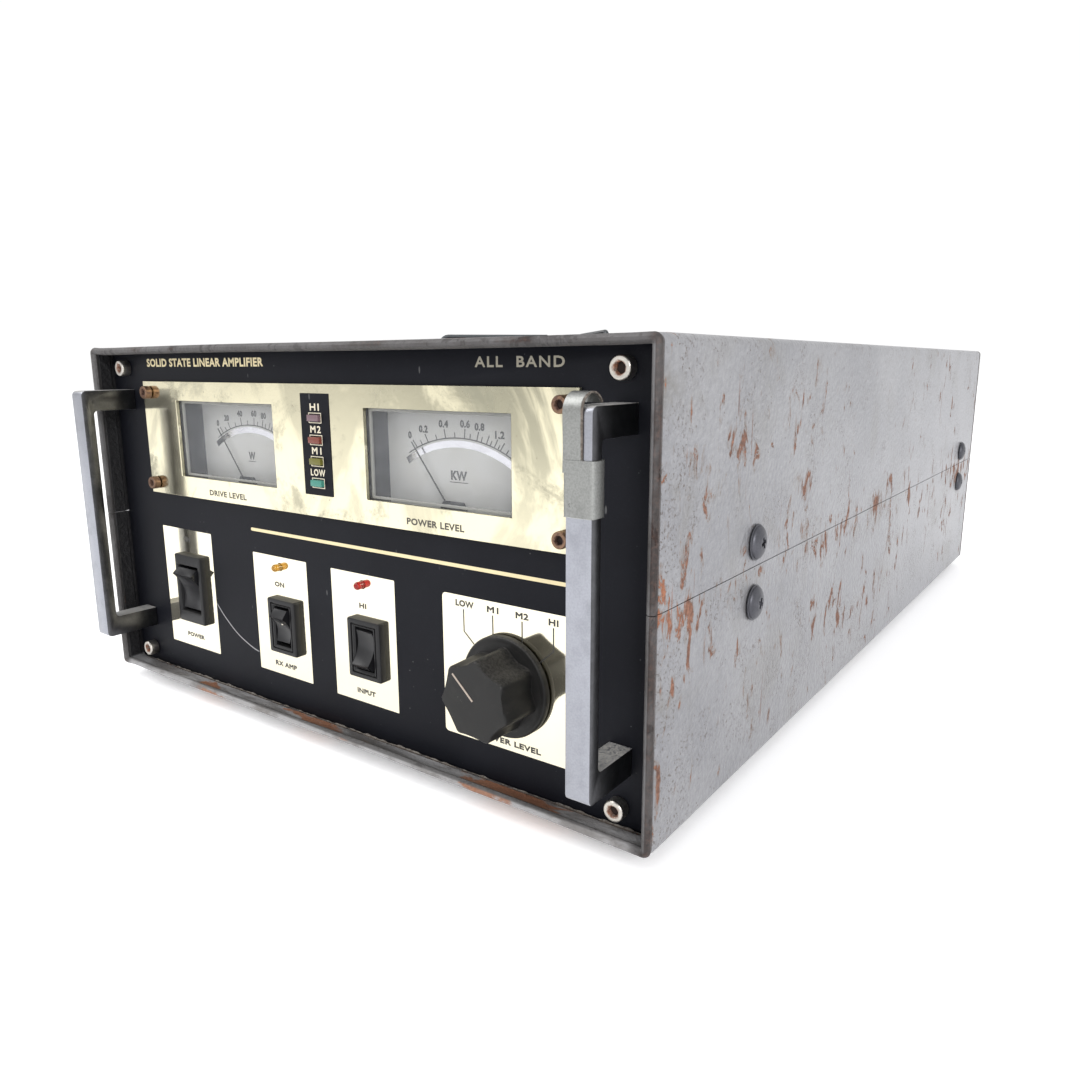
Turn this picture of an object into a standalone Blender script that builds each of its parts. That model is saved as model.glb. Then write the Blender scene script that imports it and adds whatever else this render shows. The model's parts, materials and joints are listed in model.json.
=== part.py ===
"""Solid-state linear RF amplifier in a folded steel case.

Metres, +Z up. X runs to the right seen from the front and Y runs to the rear. The origin is on the
standing surface, under the middle of the whole object. Shapes are written in case coordinates, with
y = 0 at the front edge of the covers and z = 0 at the underside of the case, and Part.build moves
them to the object's frame.
"""

import math

import bmesh
import bpy
from mathutils import Vector

MM = 0.001
GAP = 0.3 * MM

# Case
WIDTH = 290.0 * MM
DEPTH = 484.0 * MM
HEIGHT = 150.0 * MM
SHEET = 1.2 * MM
HEM = 3.0 * MM
HEM_LENGTH = 5.6 * MM
BEND = 2.5 * MM
SEAM = 74.2 * MM
FOOT_RADIUS = 11.0 * MM
FOOT_HEIGHT = 5.0 * MM
FOOT_X = 118.0 * MM
FOOT_INSET = 40.0 * MM

# Front and rear panels
RECESS = 9.3 * MM
PANEL = 3.0 * MM
PANEL_X = WIDTH / 2 - SHEET - 2 * GAP
PANEL_LOW = SHEET + GAP
PANEL_HIGH = HEIGHT - SHEET - GAP
FRONT_FACE = RECESS
FRONT_BACK = RECESS + PANEL
REAR_FACE = DEPTH - RECESS
REAR_BACK = REAR_FACE - PANEL
REACH = 15.6 * MM

# Screws
CAP_X = 130.0 * MM
CAP_LOW = 8.8 * MM
CAP_HIGH = 140.8 * MM
COVER_SCREW_Y = (71.5 * MM, 439.4 * MM)
COVER_SCREW_Z = (61.7 * MM, 82.8 * MM)
COVER_SHANK = 2.0 * MM

# Meter plate and meters
PLATE_X = 115.5 * MM
PLATE_LOW = 85.9 * MM
PLATE_HIGH = 135.3 * MM
PLATE_THICK = 1.6 * MM
PLATE_FRONT = FRONT_FACE - GAP - PLATE_THICK
PLATE_SCREW_X = 110.5 * MM
PLATE_SCREW_Z = (90.7 * MM, 130.5 * MM)
METER_X = 58.0 * MM
WINDOW_X = 32.6 * MM
WINDOW_LOW = 94.9 * MM
WINDOW_HIGH = 127.2 * MM
DIAL_Y = FRONT_FACE + 11.2 * MM
NEEDLE_Z = 88.3 * MM
NEEDLE_LENGTH = 35.4 * MM
NEEDLE_REST = math.radians(-37.5)
NEEDLE_Y = DIAL_Y - 1.8 * MM

# Level lights
LEVEL_BOARD_Z = (95.7 * MM, 127.8 * MM)
LEVEL_LIGHT = (3.1 * MM, 1.2 * MM)
LEVEL_LIGHT_FRONT = PLATE_FRONT - 1.6 * MM
LEVEL_LIGHT_Z = (98.8 * MM, 106.9 * MM, 114.8 * MM, 122.9 * MM)
ROUND_LIGHT_Z = 62.2 * MM
ROUND_LIGHT_RADIUS = 1.5 * MM

# Rocker switches: name, centre (x, z), half bezel, half slot, height of the standing tip, tilt sign
SWITCHES = (
    ("power", (-92.1 * MM, 43.6 * MM), (9.8 * MM, 15.6 * MM), (7.4 * MM, 10.6 * MM), 4.9 * MM, 1),
    ("receive", (-27.4 * MM, 37.8 * MM), (8.5 * MM, 11.5 * MM), (4.6 * MM, 8.3 * MM), 4.6 * MM, 1),
    ("input", (20.8 * MM, 37.8 * MM), (8.7 * MM, 11.6 * MM), (4.8 * MM, 8.3 * MM), 5.4 * MM, -1),
)
ROCKER_TILT = math.radians(14.0)
BEZEL_FRONT = FRONT_FACE - 2.7 * MM
ROCKER_TIP_OUT = 2.3 * MM

# Level knob
KNOB_X = 86.75 * MM
KNOB_Z = 38.3 * MM
KNOB_FRONT = -8.5 * MM
KNOB_SIDES = 7
KNOB_RADIUS = 14.4 * MM
SKIRT_RADIUS = 17.4 * MM
SHAFT_RADIUS = 3.0 * MM
POINTER_ANGLE = math.radians(137.0)

# Handles
HANDLE_X = 130.0 * MM
HANDLE_HALF = 4.1 * MM
HANDLE_LOW = 20.4 * MM
HANDLE_HIGH = 131.4 * MM
HANDLE_FRONT = -14.8 * MM
HANDLE_BAR = 4.8 * MM
HANDLE_ARM = 8.8 * MM
CLIP_LOW = 102.3 * MM
CLIP_HIGH = 117.5 * MM
CLIP_SHEET = 0.5 * MM

# Fan on the top cover
FAN_Y = 180.0 * MM
FAN_HALF = 59.5 * MM
FAN_BORE = 56.0 * MM
FAN_HEIGHT = 25.0 * MM
FAN_TOP = HEIGHT - SHEET - GAP
FAN_HUB = 19.0 * MM
FAN_BLADES = 7
GUARD_TOP = 157.0 * MM
GUARD_WIRE = 1.1 * MM
GUARD_RINGS = (20.0 * MM, 31.0 * MM, 42.0 * MM, 53.0 * MM)

# Chassis and inside pieces
TRAY_SHEET = 2.0 * MM
TRAY_LOW = 10.0 * MM
TRAY_SIDE_HIGH = 96.0 * MM
TRAY_X = WIDTH / 2 - SHEET - GAP - GAP
SINK_HALF = 62.0 * MM
SINK_Y = (112.0 * MM, 248.0 * MM)
SINK_BASE = (74.0 * MM, 80.0 * MM)
SINK_TOP = 112.0 * MM
SINK_FINS = 12
TOROID_Y = 375.0 * MM

# Rear fittings
RF_SOCKET_X = (-95.0 * MM, -45.0 * MM)
RF_SOCKET_Z = 45.0 * MM
INLET_X = 88.0 * MM
INLET_Z = 45.0 * MM
FUSE_X = 42.0 * MM
GROUND_X = 5.0 * MM

CASE_ORIGIN = Vector((0.0, -DEPTH / 2, FOOT_HEIGHT + GAP))

FINISHES = {
    "silver_paint": ((0.40, 0.41, 0.43), 0.55, 0.3),
    "black_paint": ((0.02, 0.02, 0.024), 0.5, 0.0),
    "gold_plate": ((0.83, 0.76, 0.50), 0.18, 1.0),
    "satin_steel": ((0.60, 0.60, 0.65), 0.3, 1.0),
    "galvanised": ((0.45, 0.46, 0.46), 0.5, 0.9),
    "rusty_steel": ((0.32, 0.20, 0.15), 0.6, 0.8),
    "dark_screw": ((0.12, 0.12, 0.13), 0.45, 0.9),
    "black_plastic": ((0.03, 0.03, 0.032), 0.4, 0.0),
    "grey_rubber": ((0.05, 0.05, 0.05), 0.8, 0.0),
    "clear_plastic": ((0.85, 0.87, 0.88), 0.08, 0.0),
    "dial_card": ((0.72, 0.72, 0.68), 0.7, 0.0),
    "zinc_sheet": ((0.55, 0.55, 0.52), 0.4, 0.9),
    "aluminium": ((0.65, 0.66, 0.67), 0.35, 1.0),
    "circuit_board": ((0.06, 0.20, 0.10), 0.5, 0.0),
    "copper_wire": ((0.55, 0.25, 0.10), 0.35, 0.8),
    "nickel": ((0.62, 0.60, 0.55), 0.3, 1.0),
    "amber_light": ((0.80, 0.55, 0.10), 0.2, 0.0),
    "red_light": ((0.75, 0.08, 0.04), 0.2, 0.0),
    "brass": ((0.70, 0.55, 0.25), 0.3, 1.0),
}


def finish(name):
    """Return the named Principled material, made on first use."""
    found = bpy.data.materials.get(name)
    if found:
        return found
    colour, roughness, metallic = FINISHES[name]
    made = bpy.data.materials.new(name)
    made.use_nodes = True
    shader = made.node_tree.nodes["Principled BSDF"]
    shader.inputs["Base Color"].default_value = (*colour, 1.0)
    shader.inputs["Roughness"].default_value = roughness
    shader.inputs["Metallic"].default_value = metallic
    return made


class Part:
    """One object under construction: closed shapes are added, then build() places it."""

    def __init__(self, name, material, origin=(0.0, 0.0, 0.0), turn=(0.0, 0.0, 0.0)):
        self.name = name
        self.material = material
        self.origin = Vector(origin)
        self.turn = turn
        self.bm = bmesh.new()

    def loft(self, rings):
        """Join closed rings of equal length with quads and cap both ends."""
        rows = [[self.bm.verts.new(point) for point in ring] for ring in rings]
        count = len(rows[0])
        for near, far in zip(rows, rows[1:]):
            for i in range(count):
                j = (i + 1) % count
                self.bm.faces.new((near[i], near[j], far[j], far[i]))
        self.bm.faces.new(rows[0])
        self.bm.faces.new(rows[-1])
        return self

    def box(self, x, y, z):
        """Add a box from its three (low, high) ranges."""
        ring = [(x[0], y[0]), (x[1], y[0]), (x[1], y[1]), (x[0], y[1])]
        return self.loft([[(u, v, height) for u, v in ring] for height in z])

    def prism(self, outline, axis, span):
        """Extrude a closed outline of coordinate pairs along one axis over a (start, end) span."""
        def point(pair, along):
            coordinates = list(pair)
            coordinates.insert("xyz".index(axis), along)
            return tuple(coordinates)
        return self.loft([[point(pair, along) for pair in outline] for along in span])

    def turned(self, profile, axis, centre, sides, phase=0.0):
        """Loft (radius, along) pairs about an axis; a radius may be a function of the angle."""
        rings = []
        for radius, along in profile:
            ring = []
            for i in range(sides):
                angle = 2 * math.pi * i / sides + phase
                reach = radius(angle) if callable(radius) else radius
                u = reach * math.cos(angle)
                v = reach * math.sin(angle)
                if axis == "x":
                    ring.append((along, centre[0] + u, centre[1] + v))
                elif axis == "y":
                    ring.append((centre[0] + u, along, centre[1] + v))
                else:
                    ring.append((centre[0] + u, centre[1] + v, along))
            rings.append(ring)
        return self.loft(rings)

    def torus(self, radius, thickness, height, centre, sides, wire_sides):
        """Add a closed ring of round wire lying level at a height."""
        rows = []
        for i in range(sides):
            angle = 2 * math.pi * i / sides
            row = []
            for j in range(wire_sides):
                bend = 2 * math.pi * j / wire_sides
                reach = radius + thickness * math.cos(bend)
                row.append(self.bm.verts.new((centre[0] + reach * math.cos(angle),
                                              centre[1] + reach * math.sin(angle),
                                              height + thickness * math.sin(bend))))
            rows.append(row)
        for i in range(sides):
            for j in range(wire_sides):
                k = (i + 1) % sides
                m = (j + 1) % wire_sides
                self.bm.faces.new((rows[i][j], rows[i][m], rows[k][m], rows[k][j]))
        return self

    def build(self, smooth=False, hidden=False):
        """Make the object, with its origin at self.origin and any turn about its local X or Y."""
        bmesh.ops.translate(self.bm, verts=self.bm.verts, vec=-self.origin)
        bmesh.ops.recalc_face_normals(self.bm, faces=self.bm.faces)
        mesh = bpy.data.meshes.new(self.name)
        self.bm.to_mesh(mesh)
        self.bm.free()
        if smooth:
            mesh.shade_smooth()
            mesh.set_sharp_from_angle(angle=math.radians(35))
        mesh.materials.append(finish(self.material))
        made = bpy.data.objects.new(self.name, mesh)
        made.location = self.origin + CASE_ORIGIN
        made.rotation_euler = self.turn
        bpy.context.scene.collection.objects.link(made)
        if hidden:
            made.hide_render = True
            made.display_type = "WIRE"
        return made


def copy_of(source, name, x=0.0, y=0.0, z=0.0):
    """Add another object that shares the source's mesh, moved by an offset."""
    made = bpy.data.objects.new(name, source.data)
    made.location = source.location + Vector((x, y, z))
    made.rotation_euler = source.rotation_euler
    bpy.context.scene.collection.objects.link(made)
    return made


def combine(target, tool, operation):
    """Cut a hidden tool from the target, or join it on, with an exact Boolean."""
    modifier = target.modifiers.new(tool.name, "BOOLEAN")
    modifier.operation = operation
    modifier.solver = "EXACT"
    modifier.object = tool


def soften(target, width, segments=1, angle=40.0):
    """Round the sharp edges of an object."""
    modifier = target.modifiers.new("edges", "BEVEL")
    modifier.width = width
    modifier.segments = segments
    modifier.limit_method = "ANGLE"
    modifier.angle_limit = math.radians(angle)


def rectangle(half_x, half_z, x=0.0, z=0.0):
    """Closed outline of a rectangle about a centre."""
    return [(x - half_x, z - half_z), (x + half_x, z - half_z),
            (x + half_x, z + half_z), (x - half_x, z + half_z)]


def square_radius(half):
    """Radius function of a square with the given half side."""
    return lambda angle: half / max(abs(math.cos(angle)), abs(math.sin(angle)))


def polygon_radius(corner, sides, dip=0.0, phase=0.0):
    """Radius function of a regular polygon, its flanks drawn in by dip at their middles."""
    step = 2 * math.pi / sides

    def reach(angle):
        local = (angle - phase) % step - step / 2
        flat = corner * math.cos(step / 2) / math.cos(local)
        return flat - dip * math.cos(math.pi * local / step) ** 2
    return reach


def cross_radius(arm, half_width):
    """Radius function of a plus-shaped driver recess."""
    def reach(angle):
        c = max(abs(math.cos(angle)), abs(math.sin(angle)))
        s = min(abs(math.cos(angle)), abs(math.sin(angle)))
        return min(arm / c, half_width / s) if s > 1e-6 else arm
    return reach


def shell_outline(inset, radius, top):
    """Open U outline of a cover at an inset from its outer face, from seam to seam."""
    x = WIDTH / 2 - inset
    far = HEIGHT - inset if top else inset
    seam = SEAM + GAP / 2 if top else SEAM - GAP / 2
    way = 1 if top else -1
    points = [(-x, seam)]
    for i in range(5):
        angle = math.pi - i * math.pi / 8
        points.append((-x + radius + radius * math.cos(angle), far - way * radius * (1 - math.sin(angle))))
    for i in range(5):
        angle = math.pi / 2 - i * math.pi / 8
        points.append((x - radius + radius * math.cos(angle), far - way * radius * (1 - math.sin(angle))))
    points.append((x, seam))
    return points


def cover(name, top):
    """Folded sheet shell: thin sheet with rounded hems turned in at the front and rear edges."""
    steps = [(0.0, 0.9 * MM, 2.1 * MM), (0.45 * MM, 0.3 * MM, 2.7 * MM), (1.2 * MM, 0.0, HEM),
             (HEM_LENGTH - 0.6 * MM, 0.0, HEM), (HEM_LENGTH, 0.0, SHEET)]
    steps += [(DEPTH - along, outer, inner) for along, outer, inner in reversed(steps)]
    shell = Part(name, "silver_paint")
    rings = []
    for along, outer, inner in steps:
        outside = shell_outline(outer, BEND, top)
        inside = shell_outline(inner, max(BEND - inner, 0.4 * MM), top)
        rings.append([(x, along, z) for x, z in outside + inside[::-1]])
    made = shell.loft(rings).build(smooth=True)

    holes = Part(name + "_holes", "silver_paint")
    screw_z = COVER_SCREW_Z[1] if top else COVER_SCREW_Z[0]
    for y in COVER_SCREW_Y:
        for side in (-1, 1):
            span = sorted((side * (WIDTH / 2 - 2 * SHEET), side * (WIDTH / 2 + SHEET)))
            holes.turned([(COVER_SHANK + 1.5 * GAP, span[0]), (COVER_SHANK + 1.5 * GAP, span[1])],
                         "x", (y, screw_z), 10)
    if top:
        holes.turned([(FAN_BORE, HEIGHT - 2 * SHEET), (FAN_BORE, HEIGHT + SHEET)], "z", (0.0, FAN_Y), 40)
    combine(made, holes.build(hidden=True), "DIFFERENCE")
    return made


def cover_screws():
    """Eight flanged dome screws with cross recesses, two per cover on each side."""
    head = WIDTH / 2 + GAP
    recess = cross_radius(2.4 * MM, 0.6 * MM)
    for side, label in ((1, "right"), (-1, "left")):
        profile = [(COVER_SHANK, head - 8.0 * MM), (COVER_SHANK, head), (6.25 * MM, head),
                   (6.25 * MM, head + 0.7 * MM), (4.7 * MM, head + 1.0 * MM), (3.9 * MM, head + 2.4 * MM),
                   (recess, head + 3.0 * MM), (recess, head + 1.6 * MM)]
        screw = Part("cover_screw", "dark_screw", (side * head, COVER_SCREW_Y[0], COVER_SCREW_Z[0]))
        screw.turned([(radius, side * along) for radius, along in profile],
                     "x", (COVER_SCREW_Y[0], COVER_SCREW_Z[0]), 16)
        first = screw.build(smooth=True)
        first.name = f"cover_screw_{label}_front_low"
        rise = COVER_SCREW_Z[1] - COVER_SCREW_Z[0]
        back = COVER_SCREW_Y[1] - COVER_SCREW_Y[0]
        copy_of(first, f"cover_screw_{label}_front_high", z=rise)
        copy_of(first, f"cover_screw_{label}_rear_low", y=back)
        copy_of(first, f"cover_screw_{label}_rear_high", y=back, z=rise)


def cap_screw(name, material, x, z, radius, height, shank, seat):
    """Socket cap screw with a hexagon recess, its head resting on the seat plane."""
    recess = polygon_radius(radius * 0.52, 6)
    profile = [(recess, seat - height * 0.35), (recess, seat - height), (radius * 0.86, seat - height),
               (radius, seat - height + radius * 0.16), (radius, seat), (shank, seat),
               (shank, FRONT_BACK + 4.0 * MM)]
    return Part(name, material, (x, seat, z)).turned(profile, "y", (x, z), 12).build(smooth=True)


def panel_screws():
    """Four M4 cap screws at the panel corners."""
    first = cap_screw("panel_screw_left_low", "nickel", -CAP_X, CAP_LOW, 3.5 * MM, 4.0 * MM, 2.0 * MM,
                      FRONT_FACE - GAP)
    copy_of(first, "panel_screw_right_low", x=2 * CAP_X)
    copy_of(first, "panel_screw_left_high", z=CAP_HIGH - CAP_LOW)
    copy_of(first, "panel_screw_right_high", x=2 * CAP_X, z=CAP_HIGH - CAP_LOW)


def plate_screws():
    """Four M3 cap screws at the corners of the meter plate."""
    low, high = PLATE_SCREW_Z
    first = cap_screw("plate_screw_left_low", "rusty_steel", -PLATE_SCREW_X, low, 2.75 * MM, 3.0 * MM,
                      1.5 * MM, PLATE_FRONT - GAP)
    copy_of(first, "plate_screw_right_low", x=2 * PLATE_SCREW_X)
    copy_of(first, "plate_screw_left_high", z=high - low)
    copy_of(first, "plate_screw_right_high", x=2 * PLATE_SCREW_X, z=high - low)


def rocker_pivot(slot):
    """Pivot line of a rocker, set behind the bezel by three tenths of its slot's half height."""
    return BEZEL_FRONT + 0.3 * slot[1]


def rocker_switch(name, centre, bezel, slot, tip, side):
    """Snap-in rocker switch: a bezel with its housing, and a rocker standing out at one end."""
    x, z = centre
    body = (slot[0] + 1.5 * MM, slot[1] + 1.8 * MM)
    pivot = rocker_pivot(slot)
    limit = slot[1] - 1.5 * GAP
    back = 2.4 * MM
    cavity_floor = pivot + back + 0.25 * limit
    housing = Part(f"{name}_switch", "black_plastic")
    housing.prism(rectangle(*bezel, x, z), "y", (BEZEL_FRONT, FRONT_FACE - GAP))
    made = housing.build()
    shell = Part(f"{name}_switch_body", "black_plastic")
    shell.prism(rectangle(*body, x, z), "y", (FRONT_FACE - 1.0 * MM, FRONT_BACK + 20.0 * MM))
    combine(made, shell.build(hidden=True), "UNION")
    hollow = Part(f"{name}_switch_slot", "black_plastic")
    hollow.prism(rectangle(*slot, x, z), "y", (BEZEL_FRONT - 1.0 * MM, cavity_floor))
    combine(made, hollow.build(hidden=True), "DIFFERENCE")

    tip_out = pivot - BEZEL_FRONT + ROCKER_TIP_OUT
    tip_angle = math.atan2(tip, tip_out) + ROCKER_TILT
    tip_reach = math.hypot(tip, tip_out)
    shoulder = math.acos((pivot - BEZEL_FRONT) / limit) + ROCKER_TILT
    peak = (-tip_reach * math.cos(tip_angle), tip_reach * math.sin(tip_angle))
    upper = [(-limit * math.cos(shoulder), limit * math.sin(shoulder)), peak]
    hollow_depth = 0.42 * (pivot - BEZEL_FRONT + ROCKER_TIP_OUT)
    for share in (0.75, 0.5, 0.25):
        dip = hollow_depth * (1 - share * share)
        upper.append((peak[0] + dip, share * peak[1]))
    middle = [(peak[0] + hollow_depth, 0.0)]
    lower = [(y, -rise) for y, rise in reversed(upper)]
    outline = upper + middle + lower + [(back, -0.86 * limit), (back, 0.86 * limit)]
    half = slot[0] - 1.5 * GAP
    rocker = Part(f"{name}_rocker", "black_plastic", (x, pivot, z), (side * ROCKER_TILT, 0.0, 0.0))
    rocker.prism([(pivot + y, z + rise) for y, rise in outline], "x", (x - half, x + half))
    rocker.build()


def round_light(name, material, x):
    """Three millimetre light, its dome standing out of the panel and its flange behind."""
    r = ROUND_LIGHT_RADIUS
    profile = [(0.2 * r, FRONT_FACE - 3.8 * MM), (0.75 * r, FRONT_FACE - 3.3 * MM),
               (r, FRONT_FACE - 2.3 * MM), (r, FRONT_BACK + GAP), (1.4 * r, FRONT_BACK + GAP),
               (1.4 * r, FRONT_BACK + 1.3 * MM)]
    Part(name, material).turned(profile, "y", (x, ROUND_LIGHT_Z), 16).build(smooth=True)


def level_lights():
    """Board behind the panel with four flat lights that stand through it."""
    board = Part("level_lights", "circuit_board")
    board.box((-5.5 * MM, 5.5 * MM), (FRONT_BACK + 1.5 * MM, FRONT_BACK + 3.1 * MM), LEVEL_BOARD_Z)
    made = board.build()
    lamps = Part("level_lamps", "red_light")
    for z in LEVEL_LIGHT_Z:
        lamps.box((-LEVEL_LIGHT[0], LEVEL_LIGHT[0]), (LEVEL_LIGHT_FRONT, FRONT_BACK + 2.0 * MM),
                  (z - LEVEL_LIGHT[1], z + LEVEL_LIGHT[1]))
    combine(made, lamps.build(hidden=True), "UNION")


def front_panel():
    """Black panel with every opening for the pieces that it carries."""
    panel = Part("front_panel", "black_paint")
    panel.prism(rectangle(PANEL_X, (PANEL_HIGH - PANEL_LOW) / 2, 0.0, (PANEL_HIGH + PANEL_LOW) / 2),
                "y", (FRONT_FACE, FRONT_BACK))
    made = panel.build()
    corner = made.modifiers.new("corners", "BEVEL")
    corner.width = 2.0 * MM
    corner.segments = 2
    corner.limit_method = "ANGLE"

    span = (FRONT_FACE - 2.0 * MM, FRONT_BACK + 2.0 * MM)
    holes = Part("front_panel_holes", "black_paint")
    window = ((WINDOW_X + 1.0 * MM), (WINDOW_HIGH - WINDOW_LOW) / 2 + 1.0 * MM)
    for side in (-1, 1):
        holes.prism(rectangle(*window, side * METER_X, (WINDOW_HIGH + WINDOW_LOW) / 2), "y", span)
        for z in (CAP_LOW, CAP_HIGH):
            holes.turned([(2.4 * MM, span[0]), (2.4 * MM, span[1])], "y", (side * CAP_X, z), 8)
        for z in PLATE_SCREW_Z:
            holes.turned([(1.9 * MM, span[0]), (1.9 * MM, span[1])], "y", (side * PLATE_SCREW_X, z), 10)
    for z in LEVEL_LIGHT_Z:
        holes.prism(rectangle(LEVEL_LIGHT[0] + GAP, LEVEL_LIGHT[1] + GAP, 0.0, z), "y", span)
    for _, centre, _, slot, _, _ in SWITCHES:
        holes.prism(rectangle(slot[0] + 1.5 * MM + GAP, slot[1] + 1.8 * MM + GAP, *centre), "y", span)
    for _, centre, *_ in SWITCHES[1:]:
        holes.turned([(ROUND_LIGHT_RADIUS + 1.2 * GAP, along) for along in span], "y",
                     (light_x(centre), ROUND_LIGHT_Z), 16)
    holes.turned([(5.2 * MM, span[0]), (5.2 * MM, span[1])], "y", (KNOB_X, KNOB_Z), 20)
    combine(made, holes.build(hidden=True), "DIFFERENCE")


def light_x(centre):
    """A round light stands two millimetres left of its switch's centre line."""
    return centre[0] - 2.0 * MM


def meter_plate():
    """Polished plate over the panel with two meter windows and the level light openings."""
    plate = Part("meter_plate", "gold_plate")
    plate.prism(rectangle(PLATE_X, (PLATE_HIGH - PLATE_LOW) / 2, 0.0, (PLATE_HIGH + PLATE_LOW) / 2),
                "y", (PLATE_FRONT, PLATE_FRONT + PLATE_THICK))
    made = plate.build()
    span = (PLATE_FRONT - 1.0 * MM, FRONT_FACE)
    holes = Part("meter_plate_holes", "gold_plate")
    for side in (-1, 1):
        holes.prism(rectangle(WINDOW_X, (WINDOW_HIGH - WINDOW_LOW) / 2, side * METER_X,
                              (WINDOW_HIGH + WINDOW_LOW) / 2), "y", span)
        for z in PLATE_SCREW_Z:
            holes.turned([(1.9 * MM, span[0]), (1.9 * MM, span[1])], "y", (side * PLATE_SCREW_X, z), 10)
    for z in LEVEL_LIGHT_Z:
        holes.prism(rectangle(LEVEL_LIGHT[0] + GAP, LEVEL_LIGHT[1] + GAP, 0.0, z), "y", span)
    combine(made, holes.build(hidden=True), "DIFFERENCE")


def meter(side, label):
    """Moving-coil meter: case, dial card, needle on its pivot and clear window."""
    x = side * METER_X
    front = FRONT_BACK + GAP
    low, high = NEEDLE_Z - 5.2 * MM, WINDOW_HIGH + 2.6 * MM
    middle, half = (low + high) / 2, (high - low) / 2
    case = Part(f"meter_case_{label}", "black_plastic")
    case.prism(rectangle(WINDOW_X + 3.2 * MM, half, x, middle), "y", (front, front + 22.0 * MM))
    made = case.build()
    hollow = Part(f"meter_case_{label}_hollow", "black_plastic")
    hollow.prism(rectangle(WINDOW_X + 1.6 * MM, half - 1.4 * MM, x, middle), "y",
                 (front - 1.0 * MM, DIAL_Y + 1.2 * MM))
    combine(made, hollow.build(hidden=True), "DIFFERENCE")
    well = Part(f"meter_case_{label}_well", "black_plastic")
    well.prism(rectangle(WINDOW_X - 2.0 * MM, half - 4.0 * MM, x, middle), "y",
               (front - 1.0 * MM, front + 20.0 * MM))
    combine(made, well.build(hidden=True), "DIFFERENCE")
    bridge = Part(f"meter_case_{label}_bridge", "black_plastic")
    bridge.prism([(x - 5.8 * MM, low + 0.7 * MM), (x + 5.8 * MM, low + 0.7 * MM),
                  (x + 5.8 * MM, WINDOW_LOW - 1.0 * MM), (x + 4.4 * MM, WINDOW_LOW + 0.9 * MM),
                  (x - 4.4 * MM, WINDOW_LOW + 0.9 * MM), (x - 5.8 * MM, WINDOW_LOW - 1.0 * MM)],
                 "y", (NEEDLE_Y - 2.0 * MM, NEEDLE_Y - 1.0 * MM))
    combine(made, bridge.build(hidden=True), "UNION")

    dial = Part(f"meter_dial_{label}", "dial_card")
    dial.prism(rectangle(WINDOW_X + 1.6 * MM - GAP, half - 1.4 * MM - GAP, x, middle), "y",
               (DIAL_Y, DIAL_Y + 0.9 * MM))
    card = dial.build()
    hole = Part(f"meter_dial_{label}_hole", "dial_card")
    hole.turned([(2.0 * MM, DIAL_Y - 1.0 * MM), (2.0 * MM, DIAL_Y + 2.0 * MM)], "y", (x, NEEDLE_Z), 16)
    combine(card, hole.build(hidden=True), "DIFFERENCE")

    needle = Part(f"meter_needle_{label}", "black_paint", (x, NEEDLE_Y, NEEDLE_Z), (0.0, NEEDLE_REST, 0.0))
    blade = [(x - 0.45 * MM, NEEDLE_Z - 3.4 * MM), (x + 0.45 * MM, NEEDLE_Z - 3.4 * MM),
             (x + 0.4 * MM, NEEDLE_Z + 4.0 * MM), (x + 0.2 * MM, NEEDLE_Z + NEEDLE_LENGTH),
             (x - 0.2 * MM, NEEDLE_Z + NEEDLE_LENGTH), (x - 0.4 * MM, NEEDLE_Z + 4.0 * MM)]
    needle.prism(blade, "y", (NEEDLE_Y - 0.2 * MM, NEEDLE_Y + 0.2 * MM))
    pointer = needle.build()
    hub = Part(f"meter_needle_{label}_hub", "black_paint", (x, NEEDLE_Y, NEEDLE_Z))
    hub.turned([(1.6 * MM, NEEDLE_Y - 0.6 * MM), (1.6 * MM, NEEDLE_Y + 0.6 * MM),
                (0.9 * MM, NEEDLE_Y + 0.6 * MM), (0.9 * MM, DIAL_Y + 2.0 * MM)], "y", (x, NEEDLE_Z), 12)
    combine(pointer, hub.build(hidden=True), "UNION")

    lens = Part(f"meter_lens_{label}", "clear_plastic")
    lens.prism(rectangle(WINDOW_X + 0.6 * MM, (WINDOW_HIGH - WINDOW_LOW) / 2 + 0.6 * MM, x,
                         (WINDOW_HIGH + WINDOW_LOW) / 2), "y", (FRONT_FACE, FRONT_FACE + 1.5 * MM))
    lens.build()


def handle(side, label):
    """Rack handle: flat front bar with two square arms that meet the panel."""
    arm_end = FRONT_FACE - GAP
    bar_back = HANDLE_FRONT + HANDLE_BAR
    r = 2.2 * MM
    outline = []
    for corner_z, way in ((HANDLE_LOW, -1), (HANDLE_HIGH, 1)):
        corner = []
        for i in range(4):
            angle = i * math.pi / 6
            corner.append((HANDLE_FRONT + r - r * math.cos(angle), corner_z - way * (r - r * math.sin(angle))))
        outline += corner if way > 0 else corner[::-1]
    outline += [(arm_end, HANDLE_HIGH), (arm_end, HANDLE_HIGH - HANDLE_ARM),
                (bar_back + 1.2 * MM, HANDLE_HIGH - HANDLE_ARM), (bar_back, HANDLE_HIGH - HANDLE_ARM - 1.2 * MM),
                (bar_back, HANDLE_LOW + HANDLE_ARM + 1.2 * MM), (bar_back + 1.2 * MM, HANDLE_LOW + HANDLE_ARM),
                (arm_end, HANDLE_LOW + HANDLE_ARM), (arm_end, HANDLE_LOW)]
    x = side * HANDLE_X
    bar = Part(f"handle_{label}", "satin_steel")
    made = bar.prism(outline, "x", (x - HANDLE_HALF, x + HANDLE_HALF)).build(smooth=True)
    soften(made, 0.6 * MM)


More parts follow.
